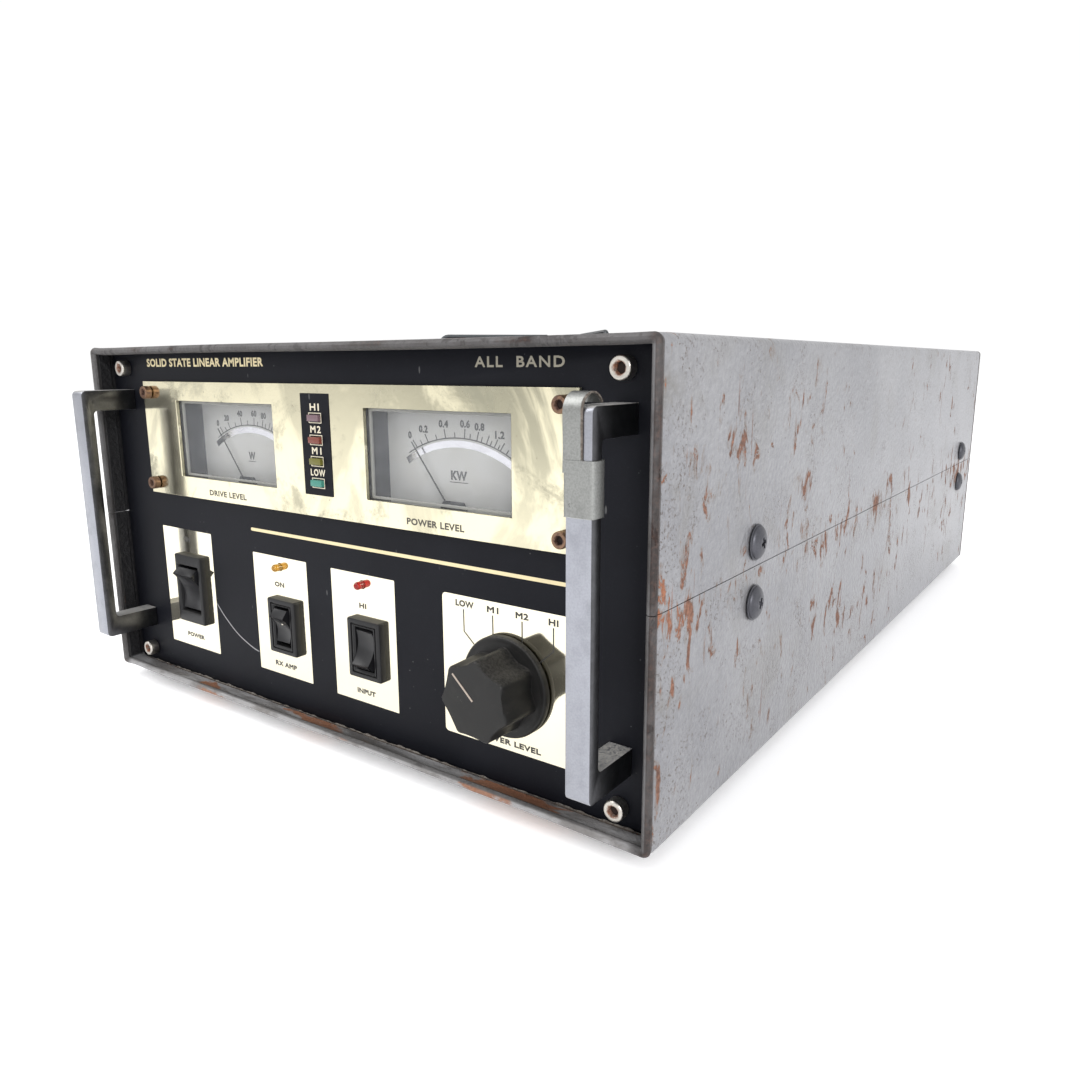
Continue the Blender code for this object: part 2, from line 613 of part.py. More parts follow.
def handle_clip():
    """Thin sheet clip: a sleeve around the bar and a strap curled over the handle's top."""
    x = HANDLE_X
    t = CLIP_SHEET
    half = HANDLE_HALF + GAP
    front = HANDLE_FRONT - GAP
    back = HANDLE_FRONT + HANDLE_BAR + GAP
    lip = 1.6 * MM
    sleeve = [(x - half - t, front - t), (x + half + t, front - t), (x + half + t, back + t),
              (x + half - lip, back + t), (x + half - lip, back), (x + half, back), (x + half, front),
              (x - half, front), (x - half, back), (x - half + lip, back), (x - half + lip, back + t),
              (x - half - t, back + t)]
    clip = Part("handle_clip", "zinc_sheet")
    made = clip.prism(sleeve, "z", (CLIP_LOW, CLIP_HIGH)).build()

    curl = 5.3 * MM
    centre_y = front - t + curl
    centre_z = HANDLE_HIGH - 1.8 * MM
    outer = [(front - t, CLIP_HIGH - 1.0 * MM)]
    inner = [(front, CLIP_HIGH - 1.0 * MM)]
    for i in range(9):
        angle = math.pi - i * math.radians(19)
        outer.append((centre_y + curl * math.cos(angle), centre_z + curl * math.sin(angle)))
        inner.append((centre_y + (curl - t) * math.cos(angle), centre_z + (curl - t) * math.sin(angle)))
    strap = Part("handle_clip_strap", "zinc_sheet")
    strap.prism(outer + inner[::-1], "x", (x - half - t + 0.6 * MM, x + 1.2 * MM))
    combine(made, strap.build(hidden=True), "UNION")


def level_knob():
    """Seven-sided knob with concave flanks on a round skirt, with its shaft."""
    body = polygon_radius(KNOB_RADIUS, KNOB_SIDES, 0.9 * MM, POINTER_ANGLE)
    face = polygon_radius(KNOB_RADIUS - 0.9 * MM, KNOB_SIDES, 0.9 * MM, POINTER_ANGLE)
    skirt_front = FRONT_FACE - 2.5 * MM
    skirt_back = FRONT_FACE - 0.5 * MM
    profile = [(face, KNOB_FRONT), (body, KNOB_FRONT + 0.6 * MM), (body, skirt_front - 0.7 * MM),
               (SKIRT_RADIUS - 0.9 * MM, skirt_front), (SKIRT_RADIUS, skirt_front + 0.5 * MM),
               (SKIRT_RADIUS, skirt_back), (SHAFT_RADIUS, skirt_back),
               (SHAFT_RADIUS, FRONT_BACK + 11.0 * MM)]
    knob = Part("level_knob", "black_plastic", (KNOB_X, KNOB_FRONT, KNOB_Z))
    knob.turned(profile, "y", (KNOB_X, KNOB_Z), 6 * KNOB_SIDES, POINTER_ANGLE).build(smooth=True)


def rotary_switch():
    """Four-way switch behind the panel, with the bush that the shaft turns in."""
    bore = SHAFT_RADIUS + 1.4 * GAP
    front = FRONT_BACK + GAP
    profile = [(bore, front + 12.0 * MM), (bore, FRONT_FACE), (4.8 * MM, FRONT_FACE), (4.8 * MM, front),
               (13.0 * MM, front), (13.0 * MM, front + 8.0 * MM), (15.5 * MM, front + 8.5 * MM),
               (15.5 * MM, front + 10.5 * MM), (11.0 * MM, front + 11.0 * MM), (11.0 * MM, front + 19.0 * MM),
               (15.5 * MM, front + 19.5 * MM), (15.5 * MM, front + 21.5 * MM)]
    Part("rotary_switch", "aluminium").turned(profile, "y", (KNOB_X, KNOB_Z), 16).build(smooth=True)


def rear_panel():
    """Plain rear panel with air slots and the holes for its fittings."""
    panel = Part("rear_panel", "black_paint")
    panel.prism(rectangle(PANEL_X, (PANEL_HIGH - PANEL_LOW) / 2, 0.0, (PANEL_HIGH + PANEL_LOW) / 2),
                "y", (REAR_BACK, REAR_FACE))
    made = panel.build()
    corner = made.modifiers.new("corners", "BEVEL")
    corner.width = 2.0 * MM
    corner.segments = 2
    corner.limit_method = "ANGLE"
    span = (REAR_BACK - 2.0 * MM, REAR_FACE + 2.0 * MM)
    holes = Part("rear_panel_holes", "black_paint")
    for x in RF_SOCKET_X:
        holes.turned([(7.8 * MM, along) for along in span], "y", (x, RF_SOCKET_Z), 24)
    holes.prism(rectangle(14.4 * MM, 10.9 * MM, INLET_X, INLET_Z), "y", span)
    holes.turned([(7.6 * MM, along) for along in span], "y", (FUSE_X, INLET_Z), 24)
    holes.turned([(3.5 * MM, along) for along in span], "y", (GROUND_X, RF_SOCKET_Z), 16)
    for side in (-1, 1):
        for z in (CAP_LOW, CAP_HIGH):
            holes.turned([(2.4 * MM, along) for along in span], "y", (side * CAP_X, z), 8)
    for i in range(8):
        x = (i - 3.5) * 26.0 * MM
        holes.prism(rectangle(3.2 * MM, 14.0 * MM, x, 108.0 * MM), "y", span)
    combine(made, holes.build(hidden=True), "DIFFERENCE")


def chassis_tray():
    """Bent tray that ties the panels together: a floor, two side flanges and four corner tabs."""
    ends = (FRONT_BACK + GAP, REAR_BACK - GAP)
    tray = Part("chassis_tray", "galvanised")
    outline = [(-TRAY_X, TRAY_LOW), (TRAY_X, TRAY_LOW), (TRAY_X, TRAY_SIDE_HIGH),
               (TRAY_X - TRAY_SHEET, TRAY_SIDE_HIGH), (TRAY_X - TRAY_SHEET, TRAY_LOW + TRAY_SHEET),
               (-TRAY_X + TRAY_SHEET, TRAY_LOW + TRAY_SHEET), (-TRAY_X + TRAY_SHEET, TRAY_SIDE_HIGH),
               (-TRAY_X, TRAY_SIDE_HIGH)]
    made = tray.prism(outline, "y", ends).build()
    tabs = Part("chassis_tabs", "galvanised")
    for side in (-1, 1):
        for end, way in ((ends[0], 1), (ends[1], -1)):
            across = sorted((side * TRAY_X, side * (TRAY_X - 20.0 * MM)))
            along = sorted((end, end + way * TRAY_SHEET))
            tabs.box(across, along, (4.0 * MM, 146.0 * MM))
    combine(made, tabs.build(hidden=True), "UNION")
    holes = Part("chassis_holes", "galvanised")
    for side in (-1, 1):
        for end in ends:
            for z in (CAP_LOW, CAP_HIGH):
                holes.turned([(2.4 * MM, end - 5.0 * MM), (2.4 * MM, end + 5.0 * MM)], "y",
                             (side * CAP_X, z), 8)
        span = sorted((side * (TRAY_X - 5.0 * MM), side * (TRAY_X + 5.0 * MM)))
        for y in COVER_SCREW_Y:
            for z in COVER_SCREW_Z:
                holes.turned([(COVER_SHANK + 1.5 * GAP, along) for along in span], "x", (y, z), 10)
    combine(made, holes.build(hidden=True), "DIFFERENCE")


def feet():
    """Four short rubber feet."""
    r = FOOT_RADIUS
    profile = [(r - 1.2 * MM, -GAP - FOOT_HEIGHT), (r, -GAP - FOOT_HEIGHT + 1.2 * MM), (r, -GAP)]
    place = (-FOOT_X, FOOT_INSET)
    foot = Part("foot_left_front", "grey_rubber", (*place, -GAP)).turned(profile, "z", place, 16)
    first = foot.build(smooth=True)
    back = DEPTH - 2 * FOOT_INSET
    copy_of(first, "foot_right_front", x=2 * FOOT_X)
    copy_of(first, "foot_left_rear", y=back)
    copy_of(first, "foot_right_rear", x=2 * FOOT_X, y=back)


def fan():
    """Fan under the top cover: square frame with a round duct, rotor, and a raised wire guard."""
    low = FAN_TOP - FAN_HEIGHT
    place = (0.0, FAN_Y)
    frame = Part("fan_frame", "black_plastic")
    frame.prism([(x, FAN_Y + y) for x, y in rectangle(FAN_HALF, FAN_HALF)], "z", (low, FAN_TOP))
    made = frame.build()
    duct = Part("fan_duct", "black_plastic")
    duct.turned([(FAN_BORE, low - 1.0 * MM), (FAN_BORE, FAN_TOP + 1.0 * MM)], "z", place, 40)
    combine(made, duct.build(hidden=True), "DIFFERENCE")
    arms = Part("fan_arms", "black_plastic")
    reach = FAN_BORE + 1.5 * MM
    arms.box((-reach, reach), (FAN_Y - 2.0 * MM, FAN_Y + 2.0 * MM), (low + 0.5 * MM, low + 3.0 * MM))
    combine(made, arms.build(hidden=True), "UNION")
    cross = Part("fan_cross_arm", "black_plastic")
    cross.box((-2.0 * MM, 2.0 * MM), (FAN_Y - reach, FAN_Y + reach), (low + 0.4 * MM, low + 3.1 * MM))
    combine(made, cross.build(hidden=True), "UNION")
    motor = Part("fan_motor", "black_plastic")
    motor.turned([(FAN_HUB, low + 0.2 * MM), (FAN_HUB, low + 3.4 * MM)], "z", place, 24)
    combine(made, motor.build(hidden=True), "UNION")

    rotor = Part("fan_rotor", "black_plastic", (*place, low))
    rotor.turned([(FAN_HUB, low + 4.0 * MM), (FAN_HUB, FAN_TOP - 3.5 * MM),
                  (FAN_HUB - 1.5 * MM, FAN_TOP - 2.0 * MM)], "z", place, 24)
    hub = rotor.build(smooth=True)
    blades = Part("fan_blades", "black_plastic", (*place, low))
    for i in range(FAN_BLADES):
        turn = 2 * math.pi * i / FAN_BLADES
        rings = []
        for radius, pitch in ((FAN_HUB - 2.0 * MM, 0.36), (38.0 * MM, 0.27), (FAN_BORE - 2.0 * MM, 0.22)):
            ring = []
            for way, thick in ((-1, -0.8 * MM), (1, -0.8 * MM), (1, 0.8 * MM), (-1, 0.8 * MM)):
                angle = turn + way * pitch
                ring.append((radius * math.cos(angle), FAN_Y + radius * math.sin(angle),
                             low + 13.0 * MM + way * 6.0 * MM + thick))
            rings.append(ring)
        blades.loft(rings)
    combine(hub, blades.build(hidden=True), "UNION")

    guard = Part("fan_guard", "dark_screw")
    ring_z = GUARD_TOP - 2.6 * GUARD_WIRE
    guard.torus(GUARD_RINGS[0], GUARD_WIRE, ring_z, place, 24, 5)
    made = guard.build(smooth=True)
    rings = Part("fan_guard_rings", "dark_screw")
    for radius in GUARD_RINGS[1:]:
        rings.torus(radius, GUARD_WIRE, ring_z, place, 24, 5)
    for i in range(4):
        leg = Part(f"fan_guard_leg_{i}", "dark_screw")
        leg.loft(guard_leg(math.pi / 4 + i * math.pi / 2, place))
        combine(made, leg.build(hidden=True), "UNION")
    combine(made, rings.build(hidden=True), "UNION")


def guard_leg(turn, place):
    """Square wire along a radius of the guard, bent down to a pad on the cover."""
    w = GUARD_WIRE
    high = GUARD_TOP - w
    foot = HEIGHT + GAP + 0.6 * MM
    route = [(15.0 * MM, high), (66.0 * MM, high), (70.0 * MM, high - 2.5 * MM),
             (70.0 * MM, foot + 1.5 * MM), (72.5 * MM, foot), (80.0 * MM, foot)]
    rings = []
    for i, (reach, z) in enumerate(route):
        before = route[max(i - 1, 0)]
        after = route[min(i + 1, len(route) - 1)]
        along = Vector((after[0] - before[0], after[1] - before[1])).normalized()
        side = Vector((-along.y, along.x))
        thick = 0.6 * MM if i > 3 else w
        wide = 3.5 * MM if i > 4 else w
        ring = []
        for across, up in ((-1, -1), (1, -1), (1, 1), (-1, 1)):
            r = reach + side.x * up * thick
            ring.append((place[0] + r * math.cos(turn) - across * wide * math.sin(turn),
                         place[1] + r * math.sin(turn) + across * wide * math.cos(turn),
                         z + side.y * up * thick))
        rings.append(ring)
    return rings


def heat_sink():
    """Finned extrusion on two legs under the fan."""
    low, high = SINK_BASE
    floor = TRAY_LOW + TRAY_SHEET + GAP
    leg = 5.0 * MM
    pitch = 2 * SINK_HALF / (SINK_FINS - 1)
    fin = 2.2 * MM
    outline = [(-SINK_HALF, floor), (-SINK_HALF + leg, floor), (-SINK_HALF + leg, low),
               (SINK_HALF - leg, low), (SINK_HALF - leg, floor), (SINK_HALF, floor), (SINK_HALF, SINK_TOP)]
    for i in range(SINK_FINS - 1):
        edge = SINK_HALF - i * pitch
        inner = edge - fin if i == 0 else edge - fin / 2
        outer = edge - pitch + (fin if i == SINK_FINS - 2 else fin / 2)
        outline += [(inner, SINK_TOP), (inner, high), (outer, high), (outer, SINK_TOP)]
    outline.append((-SINK_HALF, SINK_TOP))
    Part("heat_sink", "aluminium").prism(outline, "y", SINK_Y).build()


def amplifier_board():
    """Circuit board hung under the heat sink on four posts, with its transistors and coils."""
    top = SINK_BASE[0] - GAP
    face = top - 10.0 * MM
    board = Part("amplifier_board", "circuit_board")
    board.box((-50.0 * MM, 50.0 * MM), (118.0 * MM, 242.0 * MM), (face - 1.6 * MM, face))
    made = board.build()
    fittings = Part("amplifier_board_fittings", "black_plastic")
    for x in (-44.0 * MM, 44.0 * MM):
        for y in (124.0 * MM, 236.0 * MM):
            fittings.turned([(3.0 * MM, face - 0.8 * MM), (3.0 * MM, top)], "z", (x, y), 10)
    for x in (-26.0 * MM, 0.0, 26.0 * MM):
        fittings.box((x - 6.0 * MM, x + 6.0 * MM), (150.0 * MM, 175.0 * MM), (face - 0.8 * MM, top))
        fittings.turned([(8.0 * MM, face - 14.0 * MM), (8.0 * MM, face - 0.8 * MM)], "z",
                        (x, 212.0 * MM), 14)
    combine(made, fittings.build(hidden=True), "UNION")


def transformer():
    """Toroidal mains transformer standing on the tray."""
    floor = TRAY_LOW + TRAY_SHEET + GAP
    top = floor + 58.0 * MM
    outer, inner, r = 54.0 * MM, 16.0 * MM, 9.0 * MM
    core = Part("transformer", "copper_wire")
    core.turned([(inner, top - 3.0 * MM), (inner + 3.0 * MM, top), (outer - r, top),
                 (outer - 0.3 * r, top - 0.3 * r), (outer, top - r), (outer, floor + r),
                 (outer - 0.3 * r, floor + 0.3 * r), (outer - r, floor)], "z", (0.0, TOROID_Y), 24)
    core.build(smooth=True)


def rf_socket(x, label):
    """Coaxial socket: square flange, threaded barrel and the solder end inside the case."""
    face = REAR_FACE + GAP
    end = face + 18.0 * MM
    flange = square_radius(12.5 * MM)
    profile = [(2.0 * MM, REAR_BACK - 9.0 * MM), (7.4 * MM, REAR_BACK - 4.0 * MM), (7.4 * MM, face),
               (flange, face), (flange, face + 1.8 * MM), (7.9 * MM, face + 1.8 * MM), (7.9 * MM, end),
               (5.6 * MM, end), (5.6 * MM, end - 9.0 * MM)]
    Part(f"rf_{label}_socket", "nickel").turned(profile, "y", (x, RF_SOCKET_Z), 16).build(smooth=True)


def mains_inlet():
    """Three-pin mains inlet with its pins inside a recess."""
    face = REAR_FACE + GAP
    inlet = Part("mains_inlet", "black_plastic")
    inlet.prism(rectangle(25.0 * MM, 14.0 * MM, INLET_X, INLET_Z), "y", (face, face + 3.0 * MM))
    made = inlet.build()
    body = Part("mains_inlet_body", "black_plastic")
    body.prism(rectangle(14.0 * MM, 10.5 * MM, INLET_X, INLET_Z), "y", (face - 26.0 * MM, face + 1.0 * MM))
    combine(made, body.build(hidden=True), "UNION")
    recess = Part("mains_inlet_recess", "black_plastic")
    recess.prism([(INLET_X - 12.2 * MM, INLET_Z - 8.3 * MM), (INLET_X + 12.2 * MM, INLET_Z - 8.3 * MM),
                  (INLET_X + 12.2 * MM, INLET_Z + 3.5 * MM), (INLET_X + 7.5 * MM, INLET_Z + 8.3 * MM),
                  (INLET_X - 7.5 * MM, INLET_Z + 8.3 * MM), (INLET_X - 12.2 * MM, INLET_Z + 3.5 * MM)],
                 "y", (face - 17.0 * MM, face + 5.0 * MM))
    combine(made, recess.build(hidden=True), "DIFFERENCE")
    pins = Part("mains_inlet_pins", "nickel")
    for x, z in ((-7.0 * MM, -2.0 * MM), (0.0, 2.0 * MM), (7.0 * MM, -2.0 * MM)):
        pins.prism(rectangle(1.0 * MM, 2.0 * MM, INLET_X + x, INLET_Z + z), "y",
                   (face - 18.0 * MM, face - 6.0 * MM))
    combine(made, pins.build(hidden=True), "UNION")


def fuse():
    """Panel fuse holder and its slotted quarter-turn cap."""
    face = REAR_FACE + GAP
    place = (FUSE_X, INLET_Z)
    bore = 5.5 * MM
    holder = Part("fuse_holder", "black_plastic")
    holder.turned([(bore, face - 24.0 * MM), (bore, face + 2.5 * MM), (9.0 * MM, face + 2.5 * MM),
                   (9.0 * MM, face), (7.2 * MM, face), (7.2 * MM, face - 28.0 * MM)], "y", place, 24)
    holder.build(smooth=True)
    head = face + 2.5 * MM + GAP
    cap = Part("fuse_cap", "black_plastic", (FUSE_X, head, INLET_Z))
    cap.turned([(4.9 * MM, face - 10.0 * MM), (4.9 * MM, head), (7.6 * MM, head), (7.2 * MM, head + 5.0 * MM),
                (6.4 * MM, head + 5.8 * MM)], "y", place, 24)
    made = cap.build(smooth=True)
    slot = Part("fuse_cap_slot", "black_plastic", (FUSE_X, head, INLET_Z))
    slot.box((FUSE_X - 5.0 * MM, FUSE_X + 5.0 * MM), (head + 4.3 * MM, head + 8.0 * MM),
             (INLET_Z - 0.7 * MM, INLET_Z + 0.7 * MM))
    combine(made, slot.build(hidden=True), "DIFFERENCE")


def ground_post():
    """Ground terminal: nut against the panel, stud and knurled thumb nut."""
    face = REAR_FACE + GAP
    end = DEPTH + REACH
    nut = polygon_radius(6.4 * MM, 6)
    profile = [(3.0 * MM, REAR_BACK - 8.0 * MM), (3.0 * MM, face), (nut, face), (nut, face + 4.0 * MM),
               (3.0 * MM, face + 4.2 * MM), (3.0 * MM, face + 7.0 * MM), (7.0 * MM, face + 7.2 * MM),
               (7.0 * MM, face + 14.0 * MM), (6.0 * MM, face + 14.8 * MM), (3.0 * MM, face + 15.0 * MM),
               (3.0 * MM, end - 0.6 * MM), (2.4 * MM, end)]
    Part("ground_post", "brass").turned(profile, "y", (GROUND_X, RF_SOCKET_Z), 12).build(smooth=True)


def main():
    """Clear the scene and build every piece."""
    for item in list(bpy.data.objects):
        bpy.data.objects.remove(item, do_unlink=True)
    cover("bottom_cover", top=False)
    cover("top_cover", top=True)
    cover_screws()
    feet()
    front_panel()
    rear_panel()
    chassis_tray()
    panel_screws()
    meter_plate()
    plate_screws()
    for side, label in ((-1, "left"), (1, "right")):
        meter(side, label)
        handle(side, label)
    handle_clip()
    level_lights()
    for switch in SWITCHES:
        rocker_switch(*switch)
    round_light("receive_light", "amber_light", light_x(SWITCHES[1][1]))
    round_light("input_light", "red_light", light_x(SWITCHES[2][1]))
    rotary_switch()
    level_knob()
    fan()
    heat_sink()
    amplifier_board()
    transformer()
    for x, label in zip(RF_SOCKET_X, ("input", "output")):
        rf_socket(x, label)
    mains_inlet()
    fuse()
    ground_post()


main()
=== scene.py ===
"""Finished look of a desktop linear amplifier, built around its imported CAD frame.

Shapes are worked out in case millimetres: x to the right from the middle, y to the rear from the front
edge of the covers, z up from the underside of the case. piece() brings them to the frame's metres, so each
finished object sits at the origin and its materials read Object coordinates.
"""

import json
import logging
import math
from dataclasses import dataclass, field
from enum import Enum
from typing import Callable, Iterable, Optional, Sequence, Union

import bmesh
import bpy
import numpy as np
from mathutils import Matrix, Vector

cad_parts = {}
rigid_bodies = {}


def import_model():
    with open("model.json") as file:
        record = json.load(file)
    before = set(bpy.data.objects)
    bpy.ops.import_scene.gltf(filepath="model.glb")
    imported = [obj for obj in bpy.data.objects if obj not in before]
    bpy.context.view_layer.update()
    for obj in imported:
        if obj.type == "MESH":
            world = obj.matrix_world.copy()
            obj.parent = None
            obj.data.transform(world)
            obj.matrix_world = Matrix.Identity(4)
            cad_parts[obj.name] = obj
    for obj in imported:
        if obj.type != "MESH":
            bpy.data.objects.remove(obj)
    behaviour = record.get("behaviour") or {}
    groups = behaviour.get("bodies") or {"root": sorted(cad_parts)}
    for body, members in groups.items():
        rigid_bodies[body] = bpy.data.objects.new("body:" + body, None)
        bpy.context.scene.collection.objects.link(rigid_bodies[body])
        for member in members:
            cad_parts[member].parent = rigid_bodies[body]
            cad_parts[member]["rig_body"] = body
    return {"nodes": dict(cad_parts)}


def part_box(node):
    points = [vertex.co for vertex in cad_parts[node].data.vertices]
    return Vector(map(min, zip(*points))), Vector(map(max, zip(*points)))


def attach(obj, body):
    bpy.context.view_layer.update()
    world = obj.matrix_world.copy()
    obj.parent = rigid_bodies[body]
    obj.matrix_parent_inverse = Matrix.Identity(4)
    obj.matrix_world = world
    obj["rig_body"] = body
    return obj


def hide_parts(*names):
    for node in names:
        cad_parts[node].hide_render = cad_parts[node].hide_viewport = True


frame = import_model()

Socket = bpy.types.NodeSocket
Array = np.ndarray
MM = 0.001
CASE = "case"
SHARP = math.radians(32.0)
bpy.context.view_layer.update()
ORIGIN = np.array([0.0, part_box("top_cover")[0].y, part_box("bottom_cover")[0].z])
log = logging.getLogger("amplifier")


# --------------------------------------------------------------------------- shader expressions


class Num:
    """A number socket of a material; arithmetic on it adds Math nodes."""

    def __init__(self, paint: "Paint", socket: Socket) -> None:
        """Wrap an output socket that belongs to a paint's node tree."""
        self.paint = paint
        self.socket = socket

    def math(self, operation: str, *others: "Level", clamp: bool = False) -> "Num":
        """Apply a Math node.

        Args:
            operation: name of the Math node's operation.
            others: the second and third operands.
            clamp: whether the result is held between 0 and 1.

        Returns:
            The result as a new number.
        """
        inputs = {i: value for i, value in enumerate((self, *others))}
        settings = {"operation": operation, "use_clamp": clamp}
        return Num(self.paint, self.paint.node("ShaderNodeMath", settings, inputs).outputs[0])

    def __add__(self, other: "Level") -> "Num":
        """Sum."""
        return self.math("ADD", other)

    def __radd__(self, other: "Level") -> "Num":
        """Sum with a plain number on the left."""
        return self.math("ADD", other)

    def __sub__(self, other: "Level") -> "Num":
        """Difference."""
        return self.math("SUBTRACT", other)

    def __rsub__(self, other: "Level") -> "Num":
        """Difference with a plain number on the left."""
        return self.math("MULTIPLY_ADD", -1.0, other)

    def __mul__(self, other: "Level") -> "Num":
        """Product."""
        return self.math("MULTIPLY", other)

    def __rmul__(self, other: "Level") -> "Num":
        """Product with a plain number on the left."""
        return self.math("MULTIPLY", other)

    def __truediv__(self, other: "Level") -> "Num":
        """Quotient."""
        return self.math("DIVIDE", other)

    def __pow__(self, other: "Level") -> "Num":
        """Power."""
        return self.math("POWER", other)

    def __abs__(self) -> "Num":
        """Size without sign."""
        return self.math("ABSOLUTE")

    def clamp(self) -> "Num":
        """Hold between 0 and 1."""
        return self.math("ADD", 0.0, clamp=True)

    def rise(self, low: float, high: float) -> "Num":
        """Smooth step that is 0 at low and 1 at high; high may be the smaller one."""
        inputs = {"Value": self, "From Min": low, "From Max": high}
        step = self.paint.node("ShaderNodeMapRange", {"interpolation_type": "SMOOTHSTEP"}, inputs)
        return Num(self.paint, step.outputs["Result"])


Level = Union[Num, float]
Colour = tuple[float, float, float]


class Paint:
    """A Principled material under construction, with one method for any node."""

    def __init__(self, name: str) -> None:
        """Start a material with its Principled shader and Object coordinates."""
        self.material = bpy.data.materials.new(name)
        self.material.use_nodes = True
        self.tree = self.material.node_tree
        self.shader = self.tree.nodes["Principled BSDF"]
        self.where = self.node("ShaderNodeTexCoord", {}, {}).outputs["Object"]

    def node(self, kind: str, settings: dict, inputs: dict) -> bpy.types.Node:
        """Add a node.

        Args:
            kind: the node's type name.
            settings: its properties, and a ramp's stops under the key "stops"; set first.
            inputs: socket names or numbers with their values, or the sockets that feed them.

        Returns:
            The new node.
        """
        made = self.tree.nodes.new(kind)
        for key, value in settings.items():
            if key == "stops":
                self._stops(made.color_ramp, value)
            else:
                setattr(made, key, value)
        for key, value in inputs.items():
            self.plug(made.inputs[key], value)
        return made

    def plug(self, target: Socket, value: object) -> None:
        """Set a socket to a value, or link it to a number or a socket."""
        source = value.socket if isinstance(value, Num) else value
        if isinstance(source, Socket):
            self.tree.links.new(source, target)
        elif isinstance(source, tuple) and len(source) == 3 and target.type == "RGBA":
            target.default_value = (*source, 1.0)
        else:
            target.default_value = source

    @staticmethod
    def _stops(ramp: bpy.types.ColorRamp, stops: Sequence[tuple[float, Colour]]) -> None:
        """Give a colour ramp its stops."""
        for _ in stops[2:]:
            ramp.elements.new(0.5)
        for element, (place, colour) in zip(ramp.elements, stops):
            element.position = place
            element.color = (*colour, 1.0)

    def coordinates(self, scale: Colour = (1.0, 1.0, 1.0), turn: Colour = (0.0, 0.0, 0.0)) -> Socket:
        """Object coordinates, turned and stretched by a Mapping node."""
        inputs = {"Vector": self.where, "Rotation": turn, "Scale": scale}
        return self.node("ShaderNodeMapping", {}, inputs).outputs[0]

    def axes(self) -> tuple[Num, Num, Num]:
        """The X, Y and Z of Object coordinates as numbers."""
        split = self.node("ShaderNodeSeparateXYZ", {}, {0: self.where})
        return Num(self, split.outputs[0]), Num(self, split.outputs[1]), Num(self, split.outputs[2])

    def noise(self, size: float, detail: float = 3.0, roughness: float = 0.5, distortion: float = 0.0,
              vector: Optional[Socket] = None) -> Num:
        """Cloudy noise, 0 to 1, whose lumps are about size metres across."""
        inputs = {"Vector": vector or self.where, "Scale": 1.0 / size, "Detail": detail,
                  "Roughness": roughness, "Distortion": distortion}
        return Num(self, self.node("ShaderNodeTexNoise", {}, inputs).outputs[0])

    def cells(self, size: float, vector: Optional[Socket] = None,
              kind: str = "F1") -> Num:
        """Distance to the nearest of scattered points about size metres apart, in cell widths."""
        inputs = {"Vector": vector or self.where, "Scale": 1.0 / size}
        return Num(self, self.node("ShaderNodeTexVoronoi", {"feature": kind}, inputs).outputs[0])

    def mix(self, share: Level, first: object, second: object) -> Socket:
        """Colour between first, at share 0, and second, at share 1."""
        made = self.tree.nodes.new("ShaderNodeMix")
        made.data_type = "RGBA"
        for index, value in ((0, share), (6, first), (7, second)):
            self.plug(made.inputs[index], value)
        return made.outputs[2]

    def ramp(self, value: Num, *stops: tuple[float, Colour]) -> Socket:
        """Colour read from stops of (place, colour)."""
        return self.node("ShaderNodeValToRGB", {"stops": stops}, {0: value}).outputs[0]

    def bump(self, height: Num, depth: float, strength: float = 1.0) -> None:
        """Add a relief to the surface; depth is in metres and reliefs stack."""
        inputs = {"Height": height, "Distance": depth, "Strength": strength}
        below = self.shader.inputs["Normal"].links
        if below:
            inputs["Normal"] = below[0].from_socket
        self.plug(self.shader.inputs["Normal"], self.node("ShaderNodeBump", {}, inputs).outputs[0])

    def facing(self, axis: int) -> Num:
        """How much the surface faces along x, y or z (0, 1 or 2), -1 to 1."""
        normal = self.node("ShaderNodeTexCoord", {}, {}).outputs["Normal"]
        return Num(self, self.node("ShaderNodeSeparateXYZ", {}, {0: normal}).outputs[axis])

    def case_axes(self) -> tuple[Num, Num, Num]:
        """Case x, y and z in metres, from the front edge and the underside of the case."""
        x, y, z = self.axes()
        return x, y - float(ORIGIN[1]), z - float(ORIGIN[2])

    def set(self, **values: object) -> None:
        """Set or link the Principled shader's sockets, with underscores for spaces."""
        for key, value in values.items():
            self.plug(self.shader.inputs[key.replace("_", " ")], value)


# --------------------------------------------------------------------------- finishes


@dataclass(frozen=True)
class Finish:
    """A named finish; its material is made once, on first use."""

    name: str

    def material(self) -> bpy.types.Material:
        """Return the material, making it if it does not exist yet."""
        found = bpy.data.materials.get(self.name)
        if found:
            return found
        paint = Paint(self.name)
        self.dress(paint)
        return paint.material

    def dress(self, paint: Paint) -> None:
        """Build the nodes of the material."""
        raise NotImplementedError


